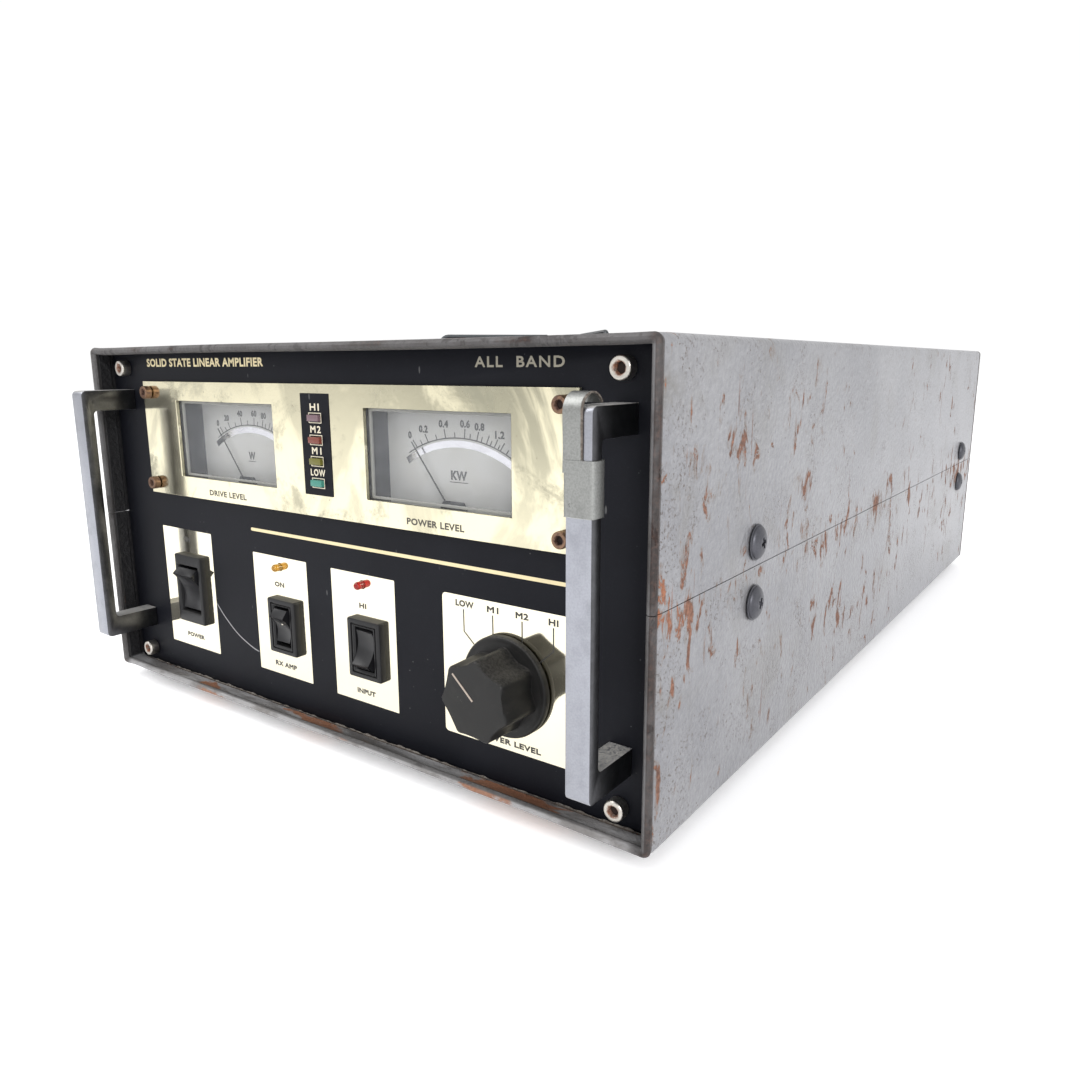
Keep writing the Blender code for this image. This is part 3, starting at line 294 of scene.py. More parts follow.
@dataclass(frozen=True)
class WornEnamel(Finish):
    """Silver-grey enamel with an orange-peel skin, scratched and pitted to rust, browner on its rolls."""

    seam: float
    height: float
    half_width: float = 145.0 * MM
    depth: float = 484.0 * MM
    roll: float = 3.1 * MM

    def dress(self, paint: Paint) -> None:
        """Grey paint with stains, pits, streaky rust and rusty rolled edges, lighter towards the rear as a painted
        reflection, with painted shade on the inner walls.
        """
        x, y, z = paint.case_axes()
        out = self.half_width - abs(x)
        near_front = y.rise(34 * MM, 2 * MM)
        under_seam = (z - self.seam).rise(1 * MM, -2 * MM) * z.rise(8 * MM, 45 * MM)
        near_seam = abs(z - self.seam).rise(16 * MM, 1 * MM)
        clusters = paint.noise(48 * MM, 2, 0.5, 0.3)
        slant = paint.coordinates((1.0, 1.0, 0.48), (0.45, 0.0, 0.0))
        shreds = paint.noise(6.5 * MM, 8, 0.66, 0.5, slant)
        wear = (shreds + 0.36 * (clusters - 0.5) + 0.070 * near_front + 0.055 * near_seam
                + 0.034 * under_seam)
        chips = wear.rise(0.652, 0.668)
        halo = wear.rise(0.595, 0.650)
        lines = paint.noise(2.6 * MM, 2, 0.4, 0.2, paint.coordinates((1.0, 1.0, 0.055), (0.06, 0.0, 0.0)))
        streak = lines.rise(0.700, 0.735) * clusters.rise(0.47, 0.57)
        pit_zone = paint.noise(21 * MM, 3, 0.6) + 0.14 * near_front + 0.05 * z.rise(60 * MM, 10 * MM)
        pits = paint.noise(1.1 * MM, 4, 0.75).rise(0.56, 0.62) * pit_zone.rise(0.51, 0.63)
        points = paint.cells(4.2 * MM).rise(0.11, 0.07) * paint.noise(16 * MM, 2).rise(0.40, 0.50)
        stain = paint.noise(34 * MM, 5, 0.62, 0.4).rise(0.48, 0.70) * (0.35 + 0.65 * near_front)
        skin = paint.noise(1.9 * MM, 2, 0.45)
        grain = paint.noise(0.5 * MM, 2, 0.5)
        mottle = paint.noise(55 * MM, 3, 0.55)
        grey = paint.mix(mottle.rise(0.3, 0.7), (0.205, 0.206, 0.222), (0.262, 0.262, 0.276))
        # Painted reflection: the side grows lighter towards the rear.
        grey = paint.mix(y.rise(90 * MM, 420 * MM) * 0.5, grey, (0.36, 0.362, 0.385))
        grey = paint.mix(skin.rise(0.50, 0.34) * 0.16, grey, (0.13, 0.13, 0.135))
        grey = paint.mix(skin.rise(0.56, 0.68) * 0.10, grey, (0.45, 0.45, 0.47))
        grey = paint.mix(grain.rise(0.6, 0.75) * 0.12, grey, (0.40, 0.40, 0.42))
        grey = paint.mix(stain * 0.75, grey, (0.150, 0.140, 0.118))
        grey = paint.mix(halo * 0.5, grey, (0.18, 0.138, 0.108))
        tone = paint.noise(1.6 * MM, 6, 0.7)
        rust = paint.ramp(tone, (0.30, (0.060, 0.030, 0.022)), (0.46, (0.135, 0.064, 0.043)),
                          (0.60, (0.235, 0.115, 0.075)), (0.8, (0.36, 0.195, 0.135)))
        orange = paint.mix(near_front * mottle.rise(0.4, 0.6) * 0.5, rust, (0.36, 0.13, 0.060))
        bare = (chips + streak * 0.7).clamp()
        colour = paint.mix(bare, grey, orange)
        colour = paint.mix((pits * 0.8 + points * 0.75).clamp(), colour, (0.085, 0.062, 0.050))
        colour, edge = self.edges(paint, colour, out, y, z, tone)
        paint.set(Base_Color=colour, Metallic=(0.28 - 0.28 * bare - 0.28 * edge).clamp(),
                  Roughness=0.35 + 0.42 * bare + 0.10 * halo + 0.16 * edge)
        paint.set(Specular_IOR_Level=0.5)
        paint.bump(skin + 0.12 * grain, 0.50 * MM, 0.8)
        paint.bump((bare + pits).clamp() * (tone - 0.8), 0.20 * MM, 0.8)

    def edges(self, paint: Paint, colour: Socket, out: Num, y: Num, z: Num,
              tone: Num) -> tuple[Socket, Num]:
        """Darken the rolled edges; painted shade on the inner walls, the top roll and the curled corners; painted
        light on the lip and sill over their scuffs; rust on the roll where it meets the side.

        Args:
            paint: the material.
            colour: the enamel's colour so far.
            out: distance in from the outer side face.
            y: case y.
            z: case z.
            tone: fine rust noise.

        Returns:
            The new colour and the share of rolled edge.
        """
        side = z.rise(1.5 * MM, 3.2 * MM) * (self.height - z).rise(1.5 * MM, 3.2 * MM)
        # within marks the inner walls, which are given a painted shade at the end.
        within = out.rise(0.9 * MM, 1.15 * MM) * y.rise(2.6 * MM, 3.6 * MM) * side
        roll = (y.rise(3.3 * MM, 2.7 * MM) + (self.depth - y).rise(3.3 * MM, 2.7 * MM)).clamp()
        patch = paint.noise(15 * MM, 6, 0.62, 0.2)
        drag = paint.noise(5 * MM, 5, 0.65, 0.2, paint.coordinates((0.25, 1.0, 0.25)))
        worn = paint.mix(drag.rise(0.38, 0.66), (0.120, 0.117, 0.120), (0.055, 0.050, 0.049))
        brown = paint.ramp(tone, (0.32, (0.009, 0.006, 0.005)), (0.5, (0.020, 0.011, 0.009)),
                           (0.66, (0.050, 0.025, 0.018)), (0.8, (0.12, 0.060, 0.040)))
        # Colours of real scuffs, lightened as painted light where the lip and sill sit in shade.
        scuffed_and_lit = paint.mix(drag.rise(0.4, 0.62), (0.34, 0.335, 0.34), (0.185, 0.175, 0.170))
        x_patch = paint.noise(26 * MM, 5, 0.6, 0.3, paint.coordinates((0.42, 1.0, 1.0)))
        red_brown = paint.mix(tone, (0.14, 0.055, 0.030), (0.44, 0.205, 0.110))
        outer = out.rise(1.75 * MM, 1.25 * MM) * side
        groove = outer * (0.72 + drag.rise(0.35, 0.6) * 0.28)
        upper = (self.height - z).rise(3.4 * MM, 2.8 * MM)
        spotted = patch.rise(0.50, 0.60) * (0.55 + 0.45 * upper)
        # Painted shade: the top roll is darker.
        worn = paint.mix(upper * 0.62, worn, (0.052, 0.047, 0.047))
        # Painted shade: a dark patch where the top and bottom rolls turn into the sides, for the curled corner.
        corner = out.rise(5 * MM, 2 * MM) * (1.0 - side)
        worn = paint.mix((groove + spotted * (1.0 - side) * 0.75 + corner * 0.7).clamp(), worn, brown)
        # Painted shade: the inward face of the roll is darker.
        shaded_roll_inside = out.rise(2.55 * MM, 3.0 * MM) * side
        worn = paint.mix(shaded_roll_inside * 0.7, worn, (0.05, 0.047, 0.047))
        lower = z.rise(3.4 * MM, 2.8 * MM) * out.rise(4 * MM, 9 * MM)
        lip = paint.mix(x_patch.rise(0.53, 0.57) * drag.rise(0.42, 0.50), scuffed_and_lit, red_brown)
        worn = paint.mix(lower * 0.8, worn, lip)
        colour = paint.mix(roll, colour, worn)
        # The sill gets the lightened scuffed colours too: painted light over real scuffs and rust.
        sill = z.rise(4.4 * MM, 3.4 * MM) * y.rise(2.7 * MM, 3.4 * MM) * y.rise(10 * MM, 9 * MM)
        sill = sill * (1.0 - side.rise(0.9, 1.0)) * out.rise(1.6 * MM, 2.6 * MM)
        colour = paint.mix(sill, colour, paint.mix(x_patch.rise(0.505, 0.535), scuffed_and_lit, red_brown))
        # Painted shade: the inner walls turn nearly black.
        colour = paint.mix(within, colour, paint.mix(drag, (0.014, 0.0135, 0.015), (0.006, 0.006, 0.007)))
        return colour, (roll + sill + within).clamp()


@dataclass(frozen=True)
class SatinBlack(Finish):
    """Black satin panel paint with dust, faint wiping marks and one long scratch."""

    scratch_centre: Optional[tuple[float, float]] = None
    scratch_radius: float = 0.0
    scratch_span: tuple[float, float] = (0.0, 0.0)

    def dress(self, paint: Paint) -> None:
        """Near-black base, pale dust points, soft smears and a scratch along a circle's arc."""
        x, _, z = paint.case_axes()
        cloud = paint.noise(38 * MM, 4, 0.55)
        grain = paint.noise(0.5 * MM, 2, 0.5)
        dust = paint.cells(3.1 * MM).rise(0.10, 0.05) * paint.noise(11 * MM, 3).rise(0.52, 0.66)
        lint = paint.cells(9 * MM, paint.coordinates((1.0, 1.0, 0.3), (0.0, 0.8, 0.0))).rise(0.05, 0.03)
        base = paint.mix(cloud.rise(0.3, 0.75), (0.0048, 0.0052, 0.0080), (0.0078, 0.0084, 0.0120))
        base = paint.mix(grain.rise(0.6, 0.85) * 0.25, base, (0.032, 0.033, 0.038))
        base = paint.mix((dust + lint).clamp() * 0.45, base, (0.16, 0.16, 0.16))
        if self.scratch_centre:
            middle_x, middle_z = (MM * c for c in self.scratch_centre)
            low, high = (MM * c for c in self.scratch_span)
            run = ((x - middle_x) ** 2.0 + (z - middle_z) ** 2.0) ** 0.5
            wobble = (paint.noise(14 * MM, 2) - 0.5) * 1.2 * MM
            line = abs(run - self.scratch_radius * MM + wobble).rise(0.34 * MM, 0.16 * MM)
            line = line * x.rise(low, low + 1 * MM) * x.rise(high, high - 2 * MM)
            below = (z - middle_z).rise(0.0, -1 * MM)
            base = paint.mix(line * below * 0.8, base, (0.36, 0.36, 0.37))
        paint.set(Base_Color=base, Roughness=0.42 + 0.14 * cloud)
        paint.set(Specular_IOR_Level=0.11)
        paint.bump(grain, 0.03 * MM, 0.4)


@dataclass(frozen=True)
class PolishedGold(Finish):
    """Pale gold mirror finish; stain sets how much of it is dulled, clouded and spotted."""

    stain: float = 0.0
    colour: Colour = (0.905, 0.850, 0.640)

    def dress(self, paint: Paint) -> None:
        """Bright metal with large cloudy tarnish, fine pits and dull fingerprints."""
        cloud = paint.noise(26 * MM, 6, 0.62, 0.5)
        film = paint.noise(44 * MM, 5, 0.6, 1.2, paint.coordinates((1.0, 1.0, 0.8), (0.0, 0.6, 0.0)))
        spots = paint.noise(2.2 * MM, 4, 0.7)
        tarnish = ((cloud + 0.18 * (spots - 0.5)).rise(0.66 - 0.16 * self.stain, 0.80 - 0.16 * self.stain)
                   * (0.25 + 0.75 * self.stain))
        x, _, z = paint.case_axes()
        dull = x.rise(0.0, 95 * MM) * z.rise(90 * MM, 122 * MM)
        veil = ((film + 0.10 * dull).rise(0.46, 0.60) * (0.5 + 0.5 * dull) * self.stain).clamp()
        pits = paint.cells(4.5 * MM).rise(0.09, 0.05) * spots.rise(0.5, 0.62) * self.stain
        gold = paint.mix(cloud.rise(0.25, 0.75), self.colour, tuple(0.94 * c for c in self.colour))
        gold = paint.mix(veil, gold, (0.24, 0.232, 0.178))
        gold = paint.mix(tarnish * 0.6, gold, (0.24, 0.235, 0.18))
        gold = paint.mix(pits, gold, (0.11, 0.08, 0.055))
        paint.set(Base_Color=gold, Metallic=1.0 - 0.2 * tarnish,
                  Roughness=0.07 + 0.05 * self.stain + 0.06 * veil + 0.30 * tarnish + 0.3 * pits)
        paint.bump(paint.noise(16 * MM, 2), 0.10 * MM, 0.4 + 0.4 * self.stain)
        paint.bump(spots, 0.02 * MM, 0.5 * self.stain)


@dataclass(frozen=True)
class PlatedMetal(Finish):
    """Plated or bare metal with fine grain, spots, a share of corrosion and dust on its upper faces."""

    colour: Colour
    roughness: float
    corrosion: float = 0.0
    corrosion_colour: Colour = (0.16, 0.07, 0.04)
    grain: Colour = (1.0, 1.0, 1.0)
    lump: float = 3 * MM
    contrast: float = 0.35
    dust: float = 0.0

    def dress(self, paint: Paint) -> None:
        """Metal whose gloss varies, with corrosion in blots."""
        grain = paint.noise(0.6 * MM, 3, 0.6, 0.0, paint.coordinates(self.grain))
        cloud = paint.noise(8 * MM, 4, 0.6)
        blots = paint.noise(self.lump, 7, 0.68, 0.3)
        eaten = (blots.rise(0.80 - 0.42 * self.corrosion, 0.86 - 0.38 * self.corrosion)
                 + self.extra(paint, blots)).clamp()
        dark = tuple(0.55 * c for c in self.colour)
        metal = paint.mix(grain.rise(0.3, 0.8) * self.contrast, self.colour, dark)
        metal = paint.mix(cloud.rise(0.46, 0.72) * self.contrast, metal, dark)
        light = tuple(min(1.0, 1.9 * c + 0.03) for c in self.corrosion_colour)
        rust = paint.mix(paint.noise(0.8 * MM, 3).rise(0.35, 0.7), self.corrosion_colour, light)
        colour = paint.mix(eaten, metal, rust)
        lying: Level = 0.0
        if self.dust:
            lying = paint.facing(2).rise(0.55, 0.95) * grain.rise(0.30, 0.56) * self.dust
            colour = paint.mix(lying, colour, (0.36, 0.345, 0.31))
        paint.set(Base_Color=self.tint(paint, colour), Metallic=(1.0 - 0.85 * eaten - 0.9 * lying).clamp(),
                  Roughness=(self.roughness + 0.14 * cloud + 0.45 * eaten + 0.4 * lying).clamp())
        paint.bump(grain, 0.02 * MM, 0.5)
        paint.bump(eaten * blots, 0.10 * MM, 0.7)

    def extra(self, paint: Paint, blots: Num) -> Level:
        """More corrosion at set places; none on plain metal."""
        return 0.0

    def tint(self, paint: Paint, colour: Socket) -> Socket:
        """A last change of colour; none on plain metal."""
        return colour


@dataclass(frozen=True)
class CapMetal(PlatedMetal):
    """Metal of cap screws at four mirrored places, rustier round their sockets."""

    half_x: float = 130.0 * MM
    mid_z: float = 74.8 * MM
    half_z: float = 66.0 * MM
    ring: float = 1.9 * MM

    def extra(self, paint: Paint, blots: Num) -> Level:
        """Rust that thins out with the distance from the screw's middle."""
        x, _, z = paint.case_axes()
        away = ((abs(x) - self.half_x) ** 2.0 + (abs(z - self.mid_z) - self.half_z) ** 2.0) ** 0.5
        return (away + (blots - 0.5) * 2.2 * MM).rise(self.ring + 0.6 * MM, self.ring - 0.3 * MM)


@dataclass(frozen=True)
class ClipZinc(PlatedMetal):
    """Zinc of the handle's clip, with a brown line down the strap's right edge."""

    edge: float = 131.4 * MM
    foot: float = 117.0 * MM

    def extra(self, paint: Paint, blots: Num) -> Level:
        """Rust within half a millimetre of the strap's cut edge."""
        x, _, z = paint.case_axes()
        line = abs(x - self.edge + (blots - 0.5) * 0.8 * MM).rise(0.75 * MM, 0.35 * MM)
        return line * z.rise(self.foot, self.foot + 1 * MM)


@dataclass(frozen=True)
class BarChrome(PlatedMetal):
    """Satin chrome of the handles, with painted shade on the faces that look sideways."""

    def tint(self, paint: Paint, colour: Socket) -> Socket:
        """Painted shade: darken where the surface looks along x."""
        # The sideways faces get a painted shade, made patchy by noise.
        patch = paint.noise(5 * MM, 5, 0.65)
        return paint.mix(abs(paint.facing(0)).rise(0.5, 0.9) * (0.60 + 0.35 * patch), colour,
                         (0.034, 0.033, 0.031))


@dataclass(frozen=True)
class Moulding(Finish):
    """Moulded plastic or rubber with a fine grain and dust."""

    colour: Colour
    roughness: float
    dust: float = 0.2
    dust_colour: Colour = (0.24, 0.225, 0.20)
    coat: float = 0.0
    specular: float = 0.4
    tooth: float = 0.02 * MM

    def dress(self, paint: Paint) -> None:
        """Base colour, dust lying in soft clouds and on upper faces, and a fine moulded grain."""
        grain = paint.noise(0.35 * MM, 2, 0.5)
        cloud = paint.noise(7 * MM, 5, 0.62, 0.3)
        fine = paint.noise(0.8 * MM, 4, 0.7)
        lying = (cloud.rise(0.5, 0.8) * 0.25 + paint.facing(2).rise(0.15, 1.0)
                 * fine.rise(0.35, 0.65)) * self.dust
        specks = paint.cells(1.6 * MM).rise(0.10, 0.05) * cloud.rise(0.5, 0.7) * min(1.0, 2 * self.dust)
        base = paint.mix(lying.clamp(), self.colour, self.dust_colour)
        base = paint.mix(specks.clamp() * 0.7, base, tuple(min(1.0, 1.8 * c) for c in self.dust_colour))
        paint.set(Base_Color=base, Roughness=self.roughness + 0.35 * lying + 0.06 * cloud)
        paint.set(Coat_Weight=self.coat, Specular_IOR_Level=self.specular)
        paint.bump(grain, self.tooth, 0.5)


@dataclass(frozen=True)
class TintedLens(Finish):
    """Clear or tinted transparent plastic."""

    colour: Colour
    roughness: float = 0.05
    alpha: float = 1.0
    transmission: float = 1.0
    glow: float = 0.0
    ior: float = 1.46

    def dress(self, paint: Paint) -> None:
        """Transparent plastic with dust and fine rubbing marks in its gloss."""
        haze = paint.noise(5 * MM, 5, 0.65)
        dust = paint.cells(2.6 * MM).rise(0.08, 0.04) * haze.rise(0.5, 0.65)
        paint.set(Base_Color=paint.mix(dust * 0.5, self.colour, (0.5, 0.5, 0.48)),
                  Roughness=self.roughness + 0.10 * haze.rise(0.5, 0.8))
        paint.set(Transmission_Weight=self.transmission, IOR=self.ior)
        if self.alpha < 1.0:
            paint.set(Alpha=(haze.rise(0.45, 0.8) * 0.05 + self.alpha + dust * 0.2).clamp())
        if self.glow:
            paint.set(Emission_Color=self.colour, Emission_Strength=self.glow)


@dataclass(frozen=True)
class PrintedCard(Finish):
    """Painted metal dial card, faintly yellowed in clouds."""

    colour: Colour = (0.43, 0.43, 0.42)

    def dress(self, paint: Paint) -> None:
        """Pale matt paint with weak stains and paper-like tooth."""
        cloud = paint.noise(14 * MM, 4, 0.6)
        tooth = paint.noise(0.4 * MM, 2, 0.5)
        base = paint.mix(cloud.rise(0.35, 0.8) * 0.5, self.colour, (0.37, 0.36, 0.325))
        base = paint.mix(tooth.rise(0.6, 0.8) * 0.2, base, (0.33, 0.33, 0.32))
        paint.set(Base_Color=base, Roughness=0.62 + 0.15 * cloud)
        paint.bump(tooth, 0.01 * MM, 0.4)


@dataclass(frozen=True)
class Ink(Finish):
    """Screen-printed lettering and lines, slightly worn."""

    colour: Colour
    metallic: float = 0.0
    worn: float = 0.3

    def dress(self, paint: Paint) -> None:
        """Even ink with small worn patches."""
        worn = paint.noise(0.9 * MM, 4, 0.7).rise(0.62, 0.72) * self.worn
        tone = paint.noise(6 * MM, 2).rise(0.3, 0.8)
        faded = tuple(0.75 * c + 0.03 for c in self.colour)
        base = paint.mix((0.35 * tone + worn).clamp(), self.colour, faded)
        paint.set(Base_Color=base, Roughness=0.42 + 0.2 * worn, Metallic=self.metallic)


@dataclass(frozen=True)
class Board(Finish):
    """Green circuit board with copper tracks under its lacquer."""

    def dress(self, paint: Paint) -> None:
        """Tracks as a coarse cell pattern, solder as bright points."""
        tracks = paint.cells(7 * MM, kind="DISTANCE_TO_EDGE").rise(0.05, 0.08)
        solder = paint.cells(5 * MM).rise(0.16, 0.12)
        base = paint.mix(tracks, (0.05, 0.22, 0.10), (0.018, 0.10, 0.045))
        base = paint.mix(solder, base, (0.55, 0.55, 0.52))
        paint.set(Base_Color=base, Roughness=0.35 + 0.1 * tracks, Metallic=solder * 0.9, Coat_Weight=0.3)
        paint.bump(tracks, 0.05 * MM, 0.5)


@dataclass(frozen=True)
class Winding(Finish):
    """Enamelled copper wire wound round a core, under tape."""

    centre: tuple[float, float]

    def dress(self, paint: Paint) -> None:
        """Radial wires: stripes that follow the angle round the core's centre."""
        x, y, _ = paint.case_axes()
        angle = (y - self.centre[1]).math("ARCTAN2", x - self.centre[0])
        wires = (angle * 110.0 + 0.4 * paint.noise(9 * MM, 2)).math("SINE")
        base = paint.mix(wires.rise(-0.9, 0.6), (0.14, 0.045, 0.02), (0.50, 0.20, 0.08))
        paint.set(Base_Color=base, Roughness=0.32 + 0.1 * paint.noise(5 * MM, 3), Metallic=0.75)
        paint.bump(wires, 0.3 * MM, 0.7)


@dataclass(frozen=True)
class StudioFloor(Finish):
    """Plain pale floor."""

    def dress(self, paint: Paint) -> None:
        """Nearly white, very slightly uneven."""
        pale = paint.mix(paint.noise(0.5, 2), (0.94, 0.94, 0.95), (0.96, 0.96, 0.97))
        paint.set(Base_Color=pale, Roughness=0.7 + 0.02 * paint.noise(0.2, 2))
        paint.set(Emission_Color=(1.0, 1.0, 1.0), Emission_Strength=0.22)


# --------------------------------------------------------------------------- geometry


def quads(rows: int, cols: int, wrap: bool = True) -> list[list[int]]:
    """Corner numbers of the cells of a grid of points; wrap joins its last column to the first."""
    i, j = np.meshgrid(np.arange(rows - 1), np.arange(cols if wrap else cols - 1), indexing="ij")
    k = (j + 1) % cols
    corners = [i * cols + j, i * cols + k, (i + 1) * cols + k, (i + 1) * cols + j]
    return np.stack(corners, -1).reshape(-1, 4).tolist()


@dataclass
class Solid:
    """Points and faces of a closed shape, before it becomes an object."""

    points: Array
    faces: list[list[int]]

    def __add__(self, other: "Solid") -> "Solid":
        """Both shapes as one mesh."""
        shift = len(self.points)
        moved = [[i + shift for i in face] for face in other.faces]
        return Solid(np.vstack([self.points, other.points]), self.faces + moved)


def loft(rings: Array, closed: bool = False) -> Solid:
    """Join closed rings in order.

    Args:
        rings: points as (ring, point on the ring, xyz).
        closed: whether the last ring joins the first, as on a torus; if not, both ends are capped.

    Returns:
        The shape.
    """
    count, around, _ = rings.shape
    if closed:
        rings = np.concatenate([rings, rings[:1]])
        faces = [[i % (count * around) for i in face] for face in quads(count + 1, around)]
        return Solid(rings[:-1].reshape(-1, 3), faces)
    first = list(range(around))
    caps = [first[::-1], [i + (count - 1) * around for i in first]]
    return Solid(rings.reshape(-1, 3), quads(count, around) + caps)


def spread(pairs: Array, along: Array, axis: str) -> Array:
    """Put (u, v) pairs and their place along an axis together as xyz points."""
    order = {"x": (2, 0, 1), "y": (0, 2, 1), "z": (0, 1, 2)}[axis]
    stacked = np.concatenate([pairs, np.broadcast_to(along, pairs.shape[:-1])[..., None]], -1)
    return stacked[..., order]


def turned(profile: Sequence[tuple[float, float]], axis: str, centre: tuple[float, float], sides: int = 48,
           shape: Optional[Callable[[Array, int], Array]] = None) -> Solid:
    """Surface of revolution: radius times (cos, sin) of the angle, for each (radius, along) pair.

    Args:
        profile: (radius, place along the axis) from one end to the other.
        axis: "x", "y" or "z".
        centre: where the axis runs, in the two other coordinates.
        sides: points round each ring.
        shape: optional factor on the radius for each angle and ring number.

    Returns:
        The capped shape.
    """
    table = np.array(profile, float)
    angle = np.linspace(0, 2 * np.pi, sides, endpoint=False)
    factor = np.ones((len(table), sides))
    if shape is not None:
        factor = np.stack([shape(angle, i) for i in range(len(table))])
    reach = table[:, :1] * factor
    pairs = np.stack([centre[0] + reach * np.cos(angle), centre[1] + reach * np.sin(angle)], -1)
    return loft(spread(pairs, table[:, 1][:, None], axis))


def rounded_outline(half_x: float, half_z: float, radius: float, centre: tuple[float, float] = (0.0, 0.0),
                    steps: int = 5) -> Array:
    """Rectangle with quarter-circle corners, counter-clockwise."""
    turn = np.linspace(0, np.pi / 2, steps)
    corners = [(half_x - radius, half_z - radius), (radius - half_x, half_z - radius),
               (radius - half_x, radius - half_z), (half_x - radius, radius - half_z)]
    arcs = [np.stack([cx + radius * np.cos(turn + q * np.pi / 2), cz + radius * np.sin(turn + q * np.pi / 2)],
                     -1)
            for q, (cx, cz) in enumerate(corners)]
    return np.concatenate(arcs) + np.array(centre)


def shrunk(outline: Array, inset: float) -> Array:
    """Outline moved inwards: each corner goes along its mitre by the inset."""
    ahead = np.roll(outline, -1, 0) - outline
    ahead /= np.linalg.norm(ahead, axis=1, keepdims=True)
    normal = np.stack([-ahead[:, 1], ahead[:, 0]], -1)
    before = np.roll(normal, 1, 0)
    mitre = (normal + before) / np.maximum(1 + (normal * before).sum(1, keepdims=True), 0.25)
    return outline + inset * mitre


def slab(outline: Array, axis: str, low: float, high: float, bevel: float = 0.0, steps: int = 3) -> Solid:
    """Outline extruded along an axis, its two rims rounded by quarter circles of radius bevel."""
    if bevel <= 0:
        return loft(np.stack([spread(outline, np.array(low), axis), spread(outline, np.array(high), axis)]))
    turn = np.linspace(0, np.pi / 2, steps)
    rings = [spread(shrunk(outline, bevel * (1 - math.sin(t))), np.array(low + bevel * (1 - math.cos(t))),
                    axis)
             for t in turn]
    rings += [spread(shrunk(outline, bevel * (1 - math.sin(t))), np.array(high - bevel * (1 - math.cos(t))),
                     axis)
              for t in turn[::-1]]
    return loft(np.stack(rings))


def tube(path: Array, radius: Union[float, Array], across: Sequence[float], sides: int = 12,
         closed: bool = False) -> Solid:
    """Round wire along a path that lies in a plane; across is the plane's normal."""
    ahead = np.roll(path, -1, 0) - np.roll(path, 1, 0) if closed else np.gradient(path, axis=0)
    ahead /= np.linalg.norm(ahead, axis=1, keepdims=True)
    side = np.broadcast_to(np.array(across, float), path.shape)
    up = np.cross(ahead, side)
    angle = np.linspace(0, 2 * np.pi, sides, endpoint=False)[None, :, None]
    reach = np.broadcast_to(radius, len(path))[:, None, None]
    rings = path[:, None] + reach * (np.cos(angle) * side[:, None] + np.sin(angle) * up[:, None])
    return loft(rings, closed)


def box(low: Sequence[float], high: Sequence[float], bevel: float = 0.0) -> Solid:
    """Box between two corners with rounded edges."""
    mid = ((low[0] + high[0]) / 2, (low[1] + high[1]) / 2)
    half = ((high[0] - low[0]) / 2, (high[1] - low[1]) / 2)
    outline = rounded_outline(*half, max(bevel, 0.02), mid, 3)
    return slab(outline, "z", low[2], high[2], bevel)


def piece(name: str, solid: Solid, finish: Finish, body: str = CASE, replaces: Iterable[str] = ()) -> bpy.types.Object:
    """Make an object from a shape, dress it and let it ride on a body.

    Args:
        name: the piece's name.
        solid: its points, in case millimetres, and faces.
        finish: its finish.
        body: the CAD body that carries it.
        replaces: CAD nodes that it stands for.

    Returns:
        The finished object.
    """
    mesh = bpy.data.meshes.new(name)
    fill(mesh, solid)
    mesh.materials.append(finish.material())
    made = bpy.data.objects.new(name, mesh)
    bpy.context.scene.collection.objects.link(made)
    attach(made, body)
    if replaces:
        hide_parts(*replaces)
    log.info("%s on %s", name, body)
    return made


def fill(mesh: bpy.types.Mesh, solid: Solid) -> None:
    """Put a shape into a mesh in the frame's metres, its faces outwards and its steep edges crisp."""
    mesh.from_pydata((solid.points * MM + ORIGIN).tolist(), [], solid.faces)
    shape = bmesh.new()
    shape.from_mesh(mesh)
    bmesh.ops.recalc_face_normals(shape, faces=shape.faces)
    shape.to_mesh(mesh)
    shape.free()
    mesh.shade_smooth()
    mesh.set_sharp_from_angle(angle=SHARP)


def refined(node: str, finish: Finish, bevel: float = 0.3, segments: int = 2) -> bpy.types.Object:
    """Stand-in for a CAD node of the right shape: merged, cleaned, its edges rounded by bevel millimetres."""
    source = frame["nodes"][node]
    mesh = source.data.copy()
    mesh.name = f"{node}_finished"
    shape = bmesh.new()
    shape.from_mesh(mesh)
    bmesh.ops.remove_doubles(shape, verts=shape.verts, dist=0.002 * MM)
    bmesh.ops.dissolve_limit(shape, angle_limit=math.radians(0.6), verts=shape.verts, edges=shape.edges)
    shape.to_mesh(mesh)
    shape.free()
    mesh.materials.clear()
    mesh.materials.append(finish.material())
    mesh.shade_smooth()
    mesh.set_sharp_from_angle(angle=SHARP)
    made = bpy.data.objects.new(f"{node}_finished", mesh)
    bpy.context.scene.collection.objects.link(made)
    if bevel:
        rounding = made.modifiers.new("edges", "BEVEL")
        rounding.width = bevel * MM
        rounding.segments = segments
        rounding.limit_method = "ANGLE"
        rounding.angle_limit = SHARP
        rounding.harden_normals = True
    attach(made, source["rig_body"])
    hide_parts(node)
    log.info("%s refined", node)
    return made


def carved(target: bpy.types.Object, cutter: Solid) -> None:
    """Cut a shape out of an object's mesh for good."""
    mesh = bpy.data.meshes.new("cutter")
    fill(mesh, cutter)
    tool = bpy.data.objects.new("cutter", mesh)
    bpy.context.scene.collection.objects.link(tool)
    cut = target.modifiers.new("cut", "BOOLEAN")
    cut.operation = "DIFFERENCE"
    cut.solver = "EXACT"
    cut.object = tool
    graph = bpy.context.evaluated_depsgraph_get()
    result = bpy.data.meshes.new_from_object(target.evaluated_get(graph))
    target.modifiers.clear()
    target.data = result
    bpy.data.objects.remove(tool)
    result.shade_smooth()
    result.set_sharp_from_angle(angle=SHARP)


class Side(Enum):
    """The face that lettering is read from, with the way that its letters stand out along y."""

    FRONT = -1
    REAR = 1


